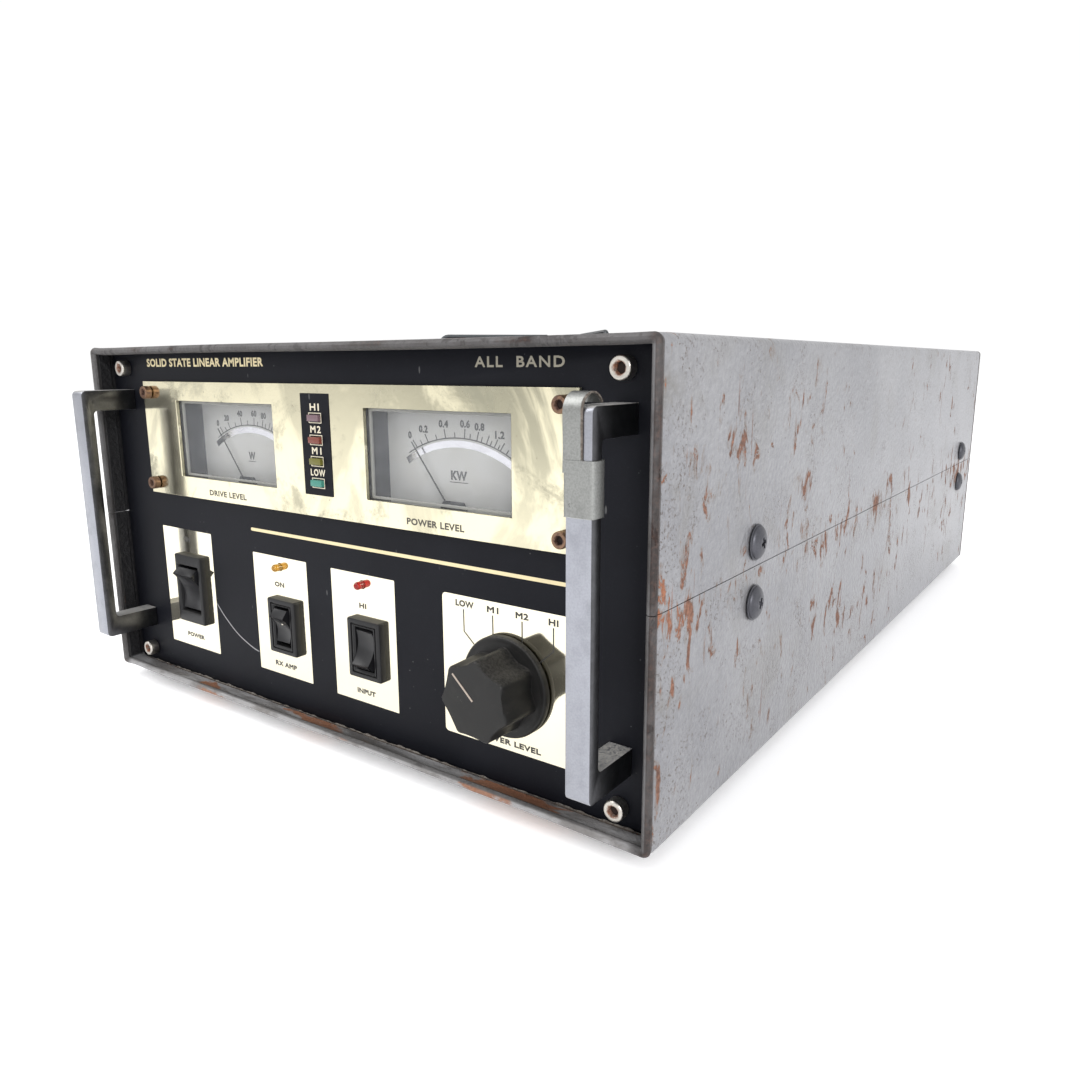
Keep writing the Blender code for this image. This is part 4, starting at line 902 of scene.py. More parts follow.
def thickened(points: Array, cells: Sequence[Sequence[int]],
              amount: float) -> tuple[Array, list[tuple[int, int]]]:
    """Flat letters with heavier strokes: each rim point goes out along the mitre of its two rim edges.

    Args:
        points: flat points as (u, v).
        cells: their faces, counter-clockwise.
        amount: how far the rims move outwards.

    Returns:
        The new points, and the rim edges in order.
    """
    edges = {(cell[i - 1], cell[i]) for cell in cells for i in range(len(cell))}
    rims = sorted(edge for edge in edges if edge[::-1] not in edges)
    ends = np.array(rims)
    ahead = points[ends[:, 1]] - points[ends[:, 0]]
    ahead /= np.maximum(np.linalg.norm(ahead, axis=1, keepdims=True), 1e-9)
    outward = np.stack([ahead[:, 1], -ahead[:, 0]], -1)
    total = np.zeros_like(points)
    count = np.zeros(len(points))
    for column in (0, 1):
        np.add.at(total, ends[:, column], outward)
        np.add.at(count, ends[:, column], 1)
    size = np.maximum((total ** 2).sum(1, keepdims=True), 1.3)
    mitre = np.where(count[:, None] == 2, 2.0 * total / size, 0.0)
    return points + amount * mitre, rims


def lettering(name: str, words: str, span_x: tuple[float, float], span_z: tuple[float, float], face: float,
              finish: Finish, weight: float = 0.1, side: Side = Side.FRONT, proud: float = 0.035,
              gap: float = 1.08) -> bpy.types.Object:
    """Raised flat letters that fill a box on a face across Y.

    Args:
        name: the piece's name.
        words: the text.
        span_x: the box in x.
        span_z: the box in z.
        face: the y of the surface that they lie on.
        finish: their ink.
        weight: how much each rim of the strokes moves outwards, in millimetres.
        side: the side that they are read from.
        proud: how far the letters stand out of the surface.
        gap: letter spacing, as a share of the usual.

    Returns:
        The lettering as one mesh object.
    """
    curve = bpy.data.curves.new(name, "FONT")
    curve.body = words
    curve.resolution_u = 3
    curve.space_character = gap
    holder = bpy.data.objects.new(name, curve)
    bpy.context.scene.collection.objects.link(holder)
    graph = bpy.context.evaluated_depsgraph_get()
    flat = bpy.data.meshes.new_from_object(holder.evaluated_get(graph))
    bpy.data.objects.remove(holder)
    points = np.empty(len(flat.vertices) * 3)
    flat.vertices.foreach_get("co", points)
    points = points.reshape(-1, 3)[:, :2]
    cells = [list(cell.vertices) for cell in flat.polygons if cell.area > 0]
    cells = [cell if flat.polygons[0].normal.z > 0 else cell[::-1] for cell in cells]
    bpy.data.meshes.remove(flat)
    low, high = points.min(0), points.max(0)
    room = np.array([span_x[1] - span_x[0], span_z[1] - span_z[0]]) - 2 * weight
    points, rims = thickened((points - low) / (high - low) * room + weight, cells, weight)
    x = span_x[0] + points[:, 0] if side is Side.FRONT else span_x[1] - points[:, 0]
    z = span_z[0] + points[:, 1]
    front = np.stack([x, np.full_like(x, face + proud * side.value), z], -1)
    back = np.stack([x, np.full_like(x, face), z], -1)
    count = len(points)
    faces = cells + [[i + count for i in cell[::-1]] for cell in cells]
    faces += [[a, b, b + count, a + count] for a, b in rims]
    return piece(name, Solid(np.vstack([front, back]), faces), finish)


def sheet_outline(path: Array, thickness: float) -> Array:
    """Closed outline of a thin sheet: the path out along one face and back along the other."""
    ahead = np.gradient(path, axis=0)
    ahead /= np.linalg.norm(ahead, axis=1, keepdims=True)
    normal = np.stack([ahead[:, 1], -ahead[:, 0]], -1)
    return np.concatenate([path + normal * thickness / 2, (path - normal * thickness / 2)[::-1]])


def arc(centre: tuple[float, float], radius: float, start: float, end: float, steps: int) -> Array:
    """Points on a circle from one angle to another, in degrees."""
    angle = np.radians(np.linspace(start, end, steps))
    return np.stack([centre[0] + radius * np.cos(angle), centre[1] + radius * np.sin(angle)], -1)


def frame_ring(rings: Sequence[tuple[Array, float]], axis: str = "y") -> Solid:
    """Closed frame round an opening: outlines of equal length, each with its place along the axis."""
    return loft(np.stack([spread(outline, np.array(along), axis) for outline, along in rings]), closed=True)


def strokes(lines: Sequence[Sequence[tuple[float, float]]], width: float, face: float,
            proud: float = 0.035) -> Solid:
    """Printed strokes on a face across Y: each line of points becomes a flat raised ribbon."""
    ribbons = [slab(sheet_outline(np.array(line, float), width), "y", face - proud, face) for line in lines]
    return summed(ribbons)


def summed(solids: Iterable[Solid]) -> Solid:
    """Several shapes as one mesh."""
    total: Optional[Solid] = None
    for solid in solids:
        total = solid if total is None else total + solid
    return total


def polygon_factor(sides: int, dip: float, phase: float, soft: float = 0.0) -> Callable[[Array, int], Array]:
    """Radius factor of a polygon with hollow flanks: the flat's secant law less a squared cosine dip.

    Args:
        sides: number of corners.
        dip: depth of the flank hollows, as a share of the corner radius.
        phase: angle of one corner.
        soft: how much the corners are cut off, as a share of the corner radius.

    Returns:
        A function of the angles and the ring number.
    """
    step = 2 * np.pi / sides

    def factor(angle: Array, _: int) -> Array:
        """Factor at each angle."""
        local = (angle - phase) % step - step / 2
        flat = np.cos(step / 2) / np.cos(local) - dip * np.cos(np.pi * local / step) ** 2
        return np.minimum(flat, 1.0 - soft + 0.25 * soft * np.cos(np.pi * local / step) ** 2)
    return factor


def staged(shapes: dict[int, Callable[[Array, int], Array]]) -> Callable[[Array, int], Array]:
    """Radius factor that uses a given law on some rings and a circle on the rest."""
    return lambda angle, ring: shapes[ring](angle, ring) if ring in shapes else np.ones_like(angle)


# --------------------------------------------------------------------------- sub-assemblies


@dataclass
class Covers:
    """Top and bottom folded steel covers with rolled edges."""

    width: float = 290.0
    depth: float = 484.0
    height: float = 150.0
    sheet: float = 1.2
    bend: float = 2.6
    seam: float = 74.2
    gap: float = 0.3
    roll: float = 1.55
    lip: float = 8.6
    fan_y: float = 180.0
    fan_bore: float = 56.0
    finish: Finish = field(default_factory=lambda: WornEnamel("silver_enamel", 74.2 * MM, 150.0 * MM))

    def outline(self, inset: float, top: bool, count: int = 22) -> Array:
        """Open U of a cover at an inset from its outer face: side, bend, flat, bend and side."""
        x = self.width / 2 - inset
        far = self.height - inset if top else inset
        way = 1 if top else -1
        seam = self.seam + way * self.gap / 2
        r = max(self.bend - inset, 0.4)
        left = np.linspace([-x, seam], [-x, far - way * r], count)[:-1]
        bend = arc((-x + r, far - way * r), r, 180, 180 - way * 90, 7)
        flat = np.linspace([-x + r, far], [x - r, far], 2 * count)[1:-1]
        turn = arc((x - r, far - way * r), r, way * 90, 0, 7)
        right = np.linspace([x, far - way * r], [x, seam], count)[1:]
        return np.concatenate([left, bend, flat, turn, right])

    def stations(self) -> Array:
        """Places along y with the insets of the outer and inner face: rolled bead, folded lip, sheet."""
        outer = [(0.12, self.roll - 0.45, self.roll + 0.45), (0.45, 0.68, 2 * self.roll - 0.68),
                 (0.9, 0.26, 2 * self.roll - 0.26), (self.roll, 0.0, 2 * self.roll),
                 (2.3, 0.20, 2 * self.roll - 0.22), (2.85, 0.42, 2.45), (3.2, 0.38, 2.1), (4.0, 0.1, 2.05),
                 (self.lip - 0.4, 0.0, 2.05), (self.lip, 0.0, 1.75), (self.lip + 0.1, 0.0, self.sheet)]
        front = np.array(outer)
        middle = np.linspace(self.lip + 4, self.depth - self.lip - 4, 90)
        middle = np.stack([middle, np.zeros(90), np.full(90, self.sheet)], -1)
        back = front[::-1].copy()
        back[:, 0] = self.depth - back[:, 0]
        return np.concatenate([front, middle, back])

    def shell(self, top: bool) -> Solid:
        """Closed shell: outer and inner outline joined at each station, then gently dented."""
        rings = []
        for along, outer, inner in self.stations():
            outside = self.outline(outer, top)
            inside = self.outline(inner, top)[::-1]
            rings.append(spread(np.concatenate([outside, inside]), np.array(along), "y"))
        rings = np.stack(rings)
        return loft(self.dented(rings, top))

    def dented(self, rings: Array, top: bool) -> Array:
        """Shallow waves in the sides that fade out towards the front, a sag along the top's front edge, and a bowed
        lip.
        """
        x, y, z = rings[..., 0], rings[..., 1], rings[..., 2]
        side = (np.abs(x) > self.width / 2 - 4).astype(float)
        wave = 0.22 * np.sin(y / 61 + 1.1) * np.sin(z / 23) + 0.10 * np.sin(y / 23 + z / 31 + 2.0)
        x -= np.sign(x) * side * np.abs(wave) * np.clip((y - 12) / 30, 0, 1)
        edge = np.exp(-(y / 5.0) ** 2)
        flat = 1 - side
        if top:
            z -= flat * edge * (0.25 + 0.2 * np.sin(x / 37))
        else:
            lift = 0.55 + 0.42 * np.sin(x / 41 + 0.6) + 0.16 * np.sin(x / 13)
            z += flat * edge * np.abs(lift)
        return np.stack([x, y, z], -1)

    def build(self) -> None:
        """Both covers, and the opening over the fan."""
        for name, top in (("top_cover", True), ("bottom_cover", False)):
            shell = piece(f"{name}_shell", self.shell(top), self.finish, replaces=[name])
            if top:
                carved(shell, turned([(self.fan_bore, self.height - 8), (self.fan_bore, self.height + 4)],
                                     "z", (0.0, self.fan_y), 96))


@dataclass
class CoverScrews:
    """Eight domed cross-head screws with pressed flanges that hold the covers."""

    places_y: tuple[float, float] = (71.5, 439.4)
    places_z: tuple[float, float] = (61.7, 82.8)
    face: float = 145.3
    flange: float = 6.25
    dome: float = 5.75
    rise: float = 2.05
    finish: Finish = PlatedMetal("darkened_screw_steel", (0.105, 0.106, 0.120), 0.34, 0.16,
                                 (0.045, 0.036, 0.030), contrast=0.5)

    @staticmethod
    def cross(angle: Array, ring: int) -> Array:
        """Plus-shaped recess: arm over the larger cosine, held by the width over the smaller."""
        large = np.maximum(np.abs(np.cos(angle)), np.abs(np.sin(angle)))
        small = np.maximum(np.minimum(np.abs(np.cos(angle)), np.abs(np.sin(angle))), 1e-3)
        return np.minimum(1.0 / large, 0.32 / small)

    def screw(self, side: int, y: float, z: float, turn: float) -> Solid:
        """One screw along X: flange, spherical dome, a turned ring on it, and the cross recess."""
        angles = np.radians([6, 16, 27, 38, 49, 58])
        dome = [(self.dome * math.cos(a), 0.72 + self.rise * math.sin(a)) for a in angles]
        top = 0.72 + self.rise
        profile = [(2.0, -8.0), (2.0, 0.0), (self.flange - 0.15, 0.0), (self.flange, 0.18),
                   (self.flange, 0.42), (self.flange - 0.2, 0.60), (self.dome + 0.02, 0.66)] + dome
        profile += [(2.95, top - 0.27), (2.85, top - 0.22), (2.3, top - 0.10), (1.95, top - 0.06),
                    (1.75, top - 0.9), (0.7, top - 1.7)]
        last = len(profile)
        shape = staged({i: lambda angle, ring: self.cross(angle + turn, ring) for i in range(last - 3, last)})
        return turned([(r, side * (self.face + along)) for r, along in profile], "x", (y, z), 96, shape)

    def build(self) -> None:
        """All eight, each turned differently."""
        for side, label in ((1, "right"), (-1, "left")):
            for i, (y, end) in enumerate(zip(self.places_y, ("front", "rear"))):
                for j, (z, level) in enumerate(zip(self.places_z, ("low", "high"))):
                    node = f"cover_screw_{label}_{end}_{level}"
                    turn = 0.35 + 0.5 * i + 0.9 * j
                    piece(f"{node}_turned", self.screw(side, y, z, turn), self.finish, replaces=[node])


@dataclass
class FrontPanel:
    """Black front panel with mirror-gold fields, a ruled line and headings."""

    face: float = 9.3
    film: float = 0.06
    rule_middle: tuple[float, float] = (33.75, 76.0)
    rule_half: tuple[float, float] = (80.5, 0.65)
    fields: tuple[tuple[str, float, float, float, float, float], ...] = (
        ("power_field", -113.3, -75.9, 15.7, 70.4, 0.35),
        ("receive_field", -46.7, -12.9, 16.0, 66.4, 0.35),
        ("input_field", 1.6, 35.6, 15.5, 66.2, 0.35),
        ("level_field", 58.75, 114.75, 15.3, 65.9, 1.5))
    openings: tuple[tuple[str, float, float, float, float], ...] = (
        ("power_field", -92.1, 43.6, 9.0, 12.5), ("receive_field", -27.4, 37.8, 6.2, 10.2),
        ("input_field", 20.8, 37.8, 6.4, 10.2))
    bores: tuple[tuple[str, float, float, float], ...] = (
        ("receive_field", -29.4, 62.2, 1.75), ("input_field", 18.8, 62.2, 1.75),
        ("level_field", 86.75, 38.3, 3.5))
    labels: tuple[tuple[str, float, float, float, float], ...] = (
        ("ON", -97.35, -92.35, 64.7, 67.2), ("POWER", -100.75, -87.75, 20.0, 22.0),
        ("ON", -33.45, -27.45, 53.7, 55.8), ("RX AMP", -36.45, -22.75, 19.4, 21.5),
        ("HI", 16.65, 20.45, 53.0, 55.0), ("INPUT", 13.35, 23.35, 18.8, 20.8),
        ("LOW", 64.75, 72.75, 62.0, 64.3), ("M1", 78.45, 83.35, 62.0, 64.2),
        ("M2", 90.35, 95.55, 62.0, 64.2), ("HI", 103.35, 107.15, 62.0, 64.2),
        ("POWER LEVEL", 73.25, 100.25, 17.0, 19.1))
    leaders: tuple[tuple[tuple[float, float], ...], ...] = (
        ((68.25, 61.2), (68.35, 53.5), (72.65, 49.7)), ((80.85, 61.2), (80.9, 54.0)),
        ((92.95, 61.3), (92.95, 53.2)), ((105.25, 61.4), (105.25, 53.6), (98.4, 47.6)))
    paint: Finish = SatinBlack("panel_black", (-37.0, 72.0), 50.5, (-76.0, -46.7))
    gold: Finish = PolishedGold("field_gold", 0.0, (0.93, 0.87, 0.68))
    print_gold: Finish = Ink("printed_gold", (0.72, 0.62, 0.38), 0.4)
    dull_gold: Finish = Ink("dull_gold", (0.27, 0.25, 0.20), 0.4)
    ink: Finish = Ink("black_ink", (0.035, 0.033, 0.03))

    def field(self, name: str, left: float, right: float, low: float, high: float, radius: float) -> None:
        """One gold field, cut open where a switch, a light or the knob's shaft goes through it."""
        centre = ((left + right) / 2, (low + high) / 2)
        outline = rounded_outline((right - left) / 2, (high - low) / 2, radius, centre)
        made = piece(name, slab(outline, "y", self.face - self.film, self.face + 0.05), self.gold)
        for owner, x, z, half_x, half_z in self.openings:
            if owner == name:
                carved(made, slab(rounded_outline(half_x, half_z, 0.5, (x, z)), "y", self.face - 1.0,
                                  self.face + 1.0))
        for owner, x, z, radius in self.bores:
            if owner == name:
                carved(made, turned([(radius, self.face - 1.0), (radius, self.face + 1.0)], "y", (x, z), 32))

    def build(self) -> None:
        """Panel, fields, line, words and the painted shade along its foot."""
        refined("front_panel", self.paint, 0.2)
        for row in self.fields:
            self.field(*row)
        line = rounded_outline(*self.rule_half, 0.6, self.rule_middle)
        piece("ruled_line", slab(line, "y", self.face - self.film, self.face + 0.05), self.print_gold)
        lettering("heading_left", "SOLID STATE LINEAR AMPLIFIER", (-113.75, -31.35), (141.4, 144.9),
                  self.face, self.print_gold, 0.17)
        lettering("heading_right", "ALL  BAND", (75.25, 109.25), (141.0, 144.3), self.face, self.dull_gold,
                  0.12, gap=1.2)
        surface = self.face - self.film
        for number, (words, left, right, low, high) in enumerate(self.labels):
            lettering(f"label_{number}_{words.replace(' ', '_').lower()}", words, (left, right), (low, high),
                      surface, self.ink, 0.15)
        piece("leader_lines", strokes(self.leaders, 0.5, surface), self.ink)
        self.crease_shade()

    def crease_shade(self) -> None:
        """Painted shade in the crease along the panel's foot: a thin dark roll, dusted on top, whose radius is a sum
        of sines of x.
        """
        x = np.linspace(-138.0, 138.0, 420)
        swell = 0.16 * (np.sin(x / 1.3) + np.sin(x / 2.9 + 1.0) + 0.8 * np.sin(x / 0.71 + 2.0)
                        + np.sin(x / 17.0))
        path = np.stack([x, np.full_like(x, self.face - 0.05), np.full_like(x, 1.9) + 0.1 * np.sin(x / 5.3)],
                        -1)
        # A dark roll in the crease above the lip: painted shade.
        crease_roll_finish = Moulding("foot_crease_shade", (0.075, 0.060, 0.050), 0.9, 0.8, (0.25, 0.235, 0.215))
        piece("panel_foot_crease_shade", tube(path, np.maximum(0.34 + swell, 0.12), (0, 0, 1), 7), crease_roll_finish)


@dataclass
class CapScrews:
    """Socket cap screws: four nickel ones in the panel corners, four rusty ones on the meter plate."""

    nickel: Finish = CapMetal("worn_nickel", (0.60, 0.57, 0.52), 0.24, 0.22, (0.15, 0.060, 0.030),
                              lump=1.6 * MM)
    rusty: Finish = CapMetal("rusted_cap_steel", (0.24, 0.150, 0.100), 0.38, 0.60, (0.055, 0.024, 0.016),
                             lump=1.6 * MM, half_x=110.5 * MM, mid_z=110.6 * MM, half_z=19.9 * MM,
                             ring=1.4 * MM)
    # Dark disc in each hex socket: painted shade of the recess, tinted like rust.
    socket: Finish = Moulding("socket_rust_and_shade", (0.022, 0.012, 0.009), 0.8, 0.2, (0.10, 0.045, 0.025))

    @staticmethod
    def head(x: float, z: float, radius: float, height: float, seat: float, end: float) -> Solid:
        """Cap screw along Y: chamfered head with fine knurling, hexagon socket with a countersink."""
        hexagon = polygon_factor(6, 0.0, 0.3)
        socket = radius * 0.56
        front = seat - height
        profile = [(socket * 0.3, front + height * 0.62), (socket * 0.98, front + height * 0.55),
                   (socket, front + 0.35), (socket * 1.0, front + 0.12), (radius * 0.80, front),
                   (radius * 0.90, front + 0.06), (radius * 0.97, front + 0.28), (radius, front + 0.55),
                   (radius, seat - 0.15), (radius - 0.15, seat), (radius * 0.5, seat), (radius * 0.5, end)]

        def knurl(angle: Array, _: int) -> Array:
            """Shallow flutes round the head."""
            return 1.0 - 0.022 * (0.5 + 0.5 * np.cos(24 * angle))
        shapes = {0: hexagon, 1: hexagon, 2: hexagon, 7: knurl, 8: knurl}
        return turned(profile, "y", (x, z), 96, staged(shapes))

    def build(self) -> None:
        """Eight screws, and a dark disc in each socket: painted shade of the recess with a rust tint."""
        for family, finish, half_x, levels, radius, height, seat, slot in (
                ("panel", self.nickel, 130.0, (8.8, 140.8), 3.5, 4.0, 9.0, "nickel"),
                ("plate", self.rusty, 110.5, (90.7, 130.5), 2.75, 3.0, 7.1, "rusty_steel")):
            for side, label in ((-1, "left"), (1, "right")):
                for z, level in zip(levels, ("low", "high")):
                    node = f"{family}_screw_{label}_{level}"
                    piece(f"{node}_cap", self.head(side * half_x, z, radius, height, seat, 16.3), finish,
                          replaces=[node])
                    # A dark disc inside the socket recess: painted shade.
                    floor = seat - height * 0.55
                    disc = [(0.2, floor), (radius * 0.5, floor), (radius * 0.52, floor + 0.3),
                            (0.2, floor + 0.3)]
                    piece(f"{node}_socket", turned(disc, "y", (side * half_x, z), 24), self.socket)


@dataclass
class MeterPlate:
    """Polished plate over the panel, with a black strip of level lights in its middle."""

    front: float = 7.4
    strip: float = 7.2
    strip_half: tuple[float, float] = (7.85, 18.8)
    strip_z: float = 113.0
    light_front: float = 5.8
    light_half: tuple[float, float] = (3.1, 1.2)
    words: tuple[tuple[str, str, float, float], ...] = (
        ("plate_label_power", "POWER LEVEL", 45.0, 71.0), ("plate_label_drive", "DRIVE LEVEL", -71.0, -45.5))
    rows: tuple[tuple[str, float, float, Colour], ...] = (
        ("LOW", 98.8, 8.1, (0.060, 0.26, 0.205)), ("M1", 106.9, 5.3, (0.155, 0.145, 0.028)),
        ("M2", 114.8, 5.8, (0.20, 0.052, 0.036)), ("HI", 122.9, 5.1, (0.185, 0.115, 0.135)))
    gold: Finish = PolishedGold("plate_gold", 0.75, (0.80, 0.745, 0.54))
    ink: Finish = Ink("plate_ink", (0.05, 0.045, 0.035))
    cream: Finish = Ink("cream_ink", (0.66, 0.60, 0.46))
    black: Finish = SatinBlack("strip_black")

    def build(self) -> None:
        """Plate, its words, the light strip's labels, outlines and lamps."""
        refined("meter_plate", self.gold, 0.25)
        for label, words, left, right in self.words:
            lettering(label, words, (left, right), (88.1, 90.5), self.front, self.ink, 0.12)
        outline = rounded_outline(*self.strip_half, 0.25, (0.0, self.strip_z))
        made = piece("light_strip", slab(outline, "y", self.strip, self.front + 0.03), self.black)
        half_x, half_z = self.light_half
        for name, z, width, colour in self.rows:
            carved(made, slab(rounded_outline(half_x + 0.1, half_z + 0.1, 0.2, (0.0, z)), "y", 6.0, 9.0))
            lettering(f"strip_label_{name.lower()}", name, (-width / 2, width / 2), (z + 2.65, z + 5.25),
                      self.strip, self.cream, 0.10, gap=1.25)
            outer = rounded_outline(half_x + 0.42, half_z + 0.72, 0.2, (0.0, z))
            inner = rounded_outline(half_x + 0.12, half_z + 0.40, 0.15, (0.0, z))
            proud = self.strip - 0.035
            rings = [(outer, proud), (outer, self.strip + 0.02), (inner, self.strip + 0.02), (inner, proud)]
            piece(f"strip_outline_{name.lower()}", frame_ring(rings), self.cream)
            lens = TintedLens(f"level_lens_{name.lower()}", colour, 0.22, transmission=0.2, glow=0.02)
            lamp = slab(rounded_outline(half_x, half_z, 0.3, (0.0, z)), "y", self.light_front, 14.3, 0.25)
            made_lamp = piece(f"level_lamp_{name.lower()}", lamp, lens)
            if name == "LOW":
                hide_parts("level_lights")
        board = box((-5.5, 13.8, 95.7), (5.5, 15.4, 127.8), 0.2)
        piece("level_board", board, Board("level_board_green"))


@dataclass
class Meter:
    """Moving-coil meter with a card, mirror band, scale, numbers, needle and clear window."""

    label: str
    centre: float
    numbers: tuple[tuple[str, float, float, float], ...]
    unit: str
    body: str
    arc_x: float = 0.1
    arc_z: float = 69.3
    radius: float = 48.0
    pivot: float = 88.3
    card: float = 20.5
    needle_y: float = 18.7
    window: tuple[float, float, float] = (32.6, 94.9, 127.2)
    majors: tuple[float, ...] = (-21.6, -15.7, -6.6, 2.9, 8.9, 13.5, 17.1, 19.9)
    minors: tuple[float, ...] = (-18.0, -10.65, -1.8, 5.3, 10.5, 14.6, 18.0, 21.6)
    card_finish: Finish = PrintedCard("dial_card_grey")
    ink: Finish = Ink("scale_ink", (0.016, 0.016, 0.018))
    mirror: Finish = PlatedMetal("mirror_band", (0.60, 0.60, 0.64), 0.14, contrast=0.15)
    well: Finish = Moulding("meter_well_black", (0.010, 0.010, 0.017), 0.6, 0.0, specular=0.0, tooth=0.0)
    rim: Finish = Moulding("meter_cover_rim", (0.23, 0.23, 0.215), 0.22, 0.15, (0.4, 0.39, 0.36))
    lens: Finish = TintedLens("meter_window", (0.80, 0.82, 0.84), 0.04, 0.06, 0.0, ior=1.2)

    def on_arc(self, dx: Array, inward: float = 0.0) -> Array:
        """Points over dx on the scale's circle, or one drawn inwards: z = z0 + sqrt(r^2 - (dx - x0)^2)."""
        r = self.radius - inward
        dx = np.asarray(dx, float)
        return np.stack([self.centre + dx, self.arc_z + np.sqrt(r * r - (dx - self.arc_x) ** 2)], -1)

    def ticks(self, tops: Sequence[float], length: float) -> Array:
        """Ticks that stand on the scale line and point away from the pivot, as (tick, end, xz).

        Args:
            tops: places of their upper ends from the window's middle.
            length: how long they are.

        Returns:
            Their two ends.
        """
        tops = np.array(tops)
        foot = tops.copy()
        for _ in range(4):
            base = self.on_arc(foot)
            way = base - [self.centre, self.pivot]
            way /= np.linalg.norm(way, axis=1, keepdims=True)
            foot = tops - length * way[:, 0]
        return np.stack([base, base + length * way], 1)

    def scale(self) -> None:
        """Scale line, ticks and mirror band, each a thin raised print."""
        line = self.on_arc(np.linspace(-23.7, 25.0, 49))
        piece(f"scale_line_{self.label}", strokes([line], 0.45, self.card), self.ink)
        band = self.on_arc(np.linspace(-24.5, 25.4, 49), 2.0)
        piece(f"mirror_band_{self.label}", strokes([band], 2.4, self.card, 0.05), self.mirror)
        marks = [*self.ticks(self.majors, 3.3), *self.ticks(self.minors, 1.9)]
        piece(f"ticks_{self.label}", strokes(marks, 0.44, self.card), self.ink)

    def build(self) -> None:
        """Dress the meter's CAD pieces and add the print, hub and needle."""
        refined(f"meter_case_{self.label}", self.well, 0.15)
        refined(f"meter_dial_{self.label}", self.card_finish, 0.0)
        self.scale()
        for words, dx, z, width in self.numbers:
            name = f"number_{self.label}_{words.replace('.', '_')}"
            x = self.centre + dx
            lettering(name, words, (x - width / 2, x + width / 2), (z - 1.3, z + 1.3), self.card, self.ink,
                      0.17)
        half = 3.65 if len(self.unit) > 1 else 2.2
        x = self.centre - 0.3
        lettering(f"unit_{self.label}", self.unit, (x - half, x + half), (102.75, 106.05), self.card,
                  self.ink, 0.24)
        underline = strokes([[(x - half - 0.55, 102.0), (x + half + 0.5, 102.0)]], 0.3, self.card)
        piece(f"unit_rule_{self.label}", underline, self.ink)
        refined(f"meter_lens_{self.label}", self.lens, 0.2)
        self.cover_rim()
        self.pointer()

    def cover_rim(self) -> None:
        """Rim of the clear cover, just behind the window's edges."""
        half_x, low, high = self.window
        middle = (self.centre, (low + high) / 2)
        half_z = (high - low) / 2
        outer = rounded_outline(half_x - 0.25, half_z - 0.25, 0.5, middle)
        inner = rounded_outline(half_x - 1.15, half_z - 1.15, 0.4, middle)
        rings = [(outer, 9.9), (outer, 11.0), (shrunk(inner, -0.2), 11.0), (inner, 10.8), (inner, 10.1),
                 (shrunk(inner, -0.2), 9.9)]
        piece(f"cover_rim_{self.label}", frame_ring(rings), self.rim)

    def pointer(self) -> None:
        """Needle: a slim tapering blade with a counterweight tail, and the hub that it swings on."""
        angle = math.radians(-37.5)
        pivot = np.array([self.centre, self.pivot])
        outline = np.array([(-0.42, -3.4), (0.42, -3.4), (0.32, 4.0), (0.17, 33.9), (-0.17, 33.9),
                            (-0.32, 4.0)])
        turn = np.array([[math.cos(angle), -math.sin(angle)], [math.sin(angle), math.cos(angle)]])
        placed = outline @ turn + pivot
        y = self.needle_y
        blade = slab(placed, "y", y - 0.15, y + 0.15)
        hub = turned([(0.2, y - 0.6), (1.45, y - 0.58), (1.58, y - 0.45), (1.58, y + 0.45), (1.45, y + 0.55),
                      (0.88, y + 0.6), (0.88, y + 3.6), (0.2, y + 3.7)], "y", (self.centre, self.pivot), 32)
        piece(f"needle_{self.label}", blade + hub, Moulding("needle_black", (0.012, 0.012, 0.013), 0.35,
                                                            0.05),
              self.body, [f"meter_needle_{self.label}"])


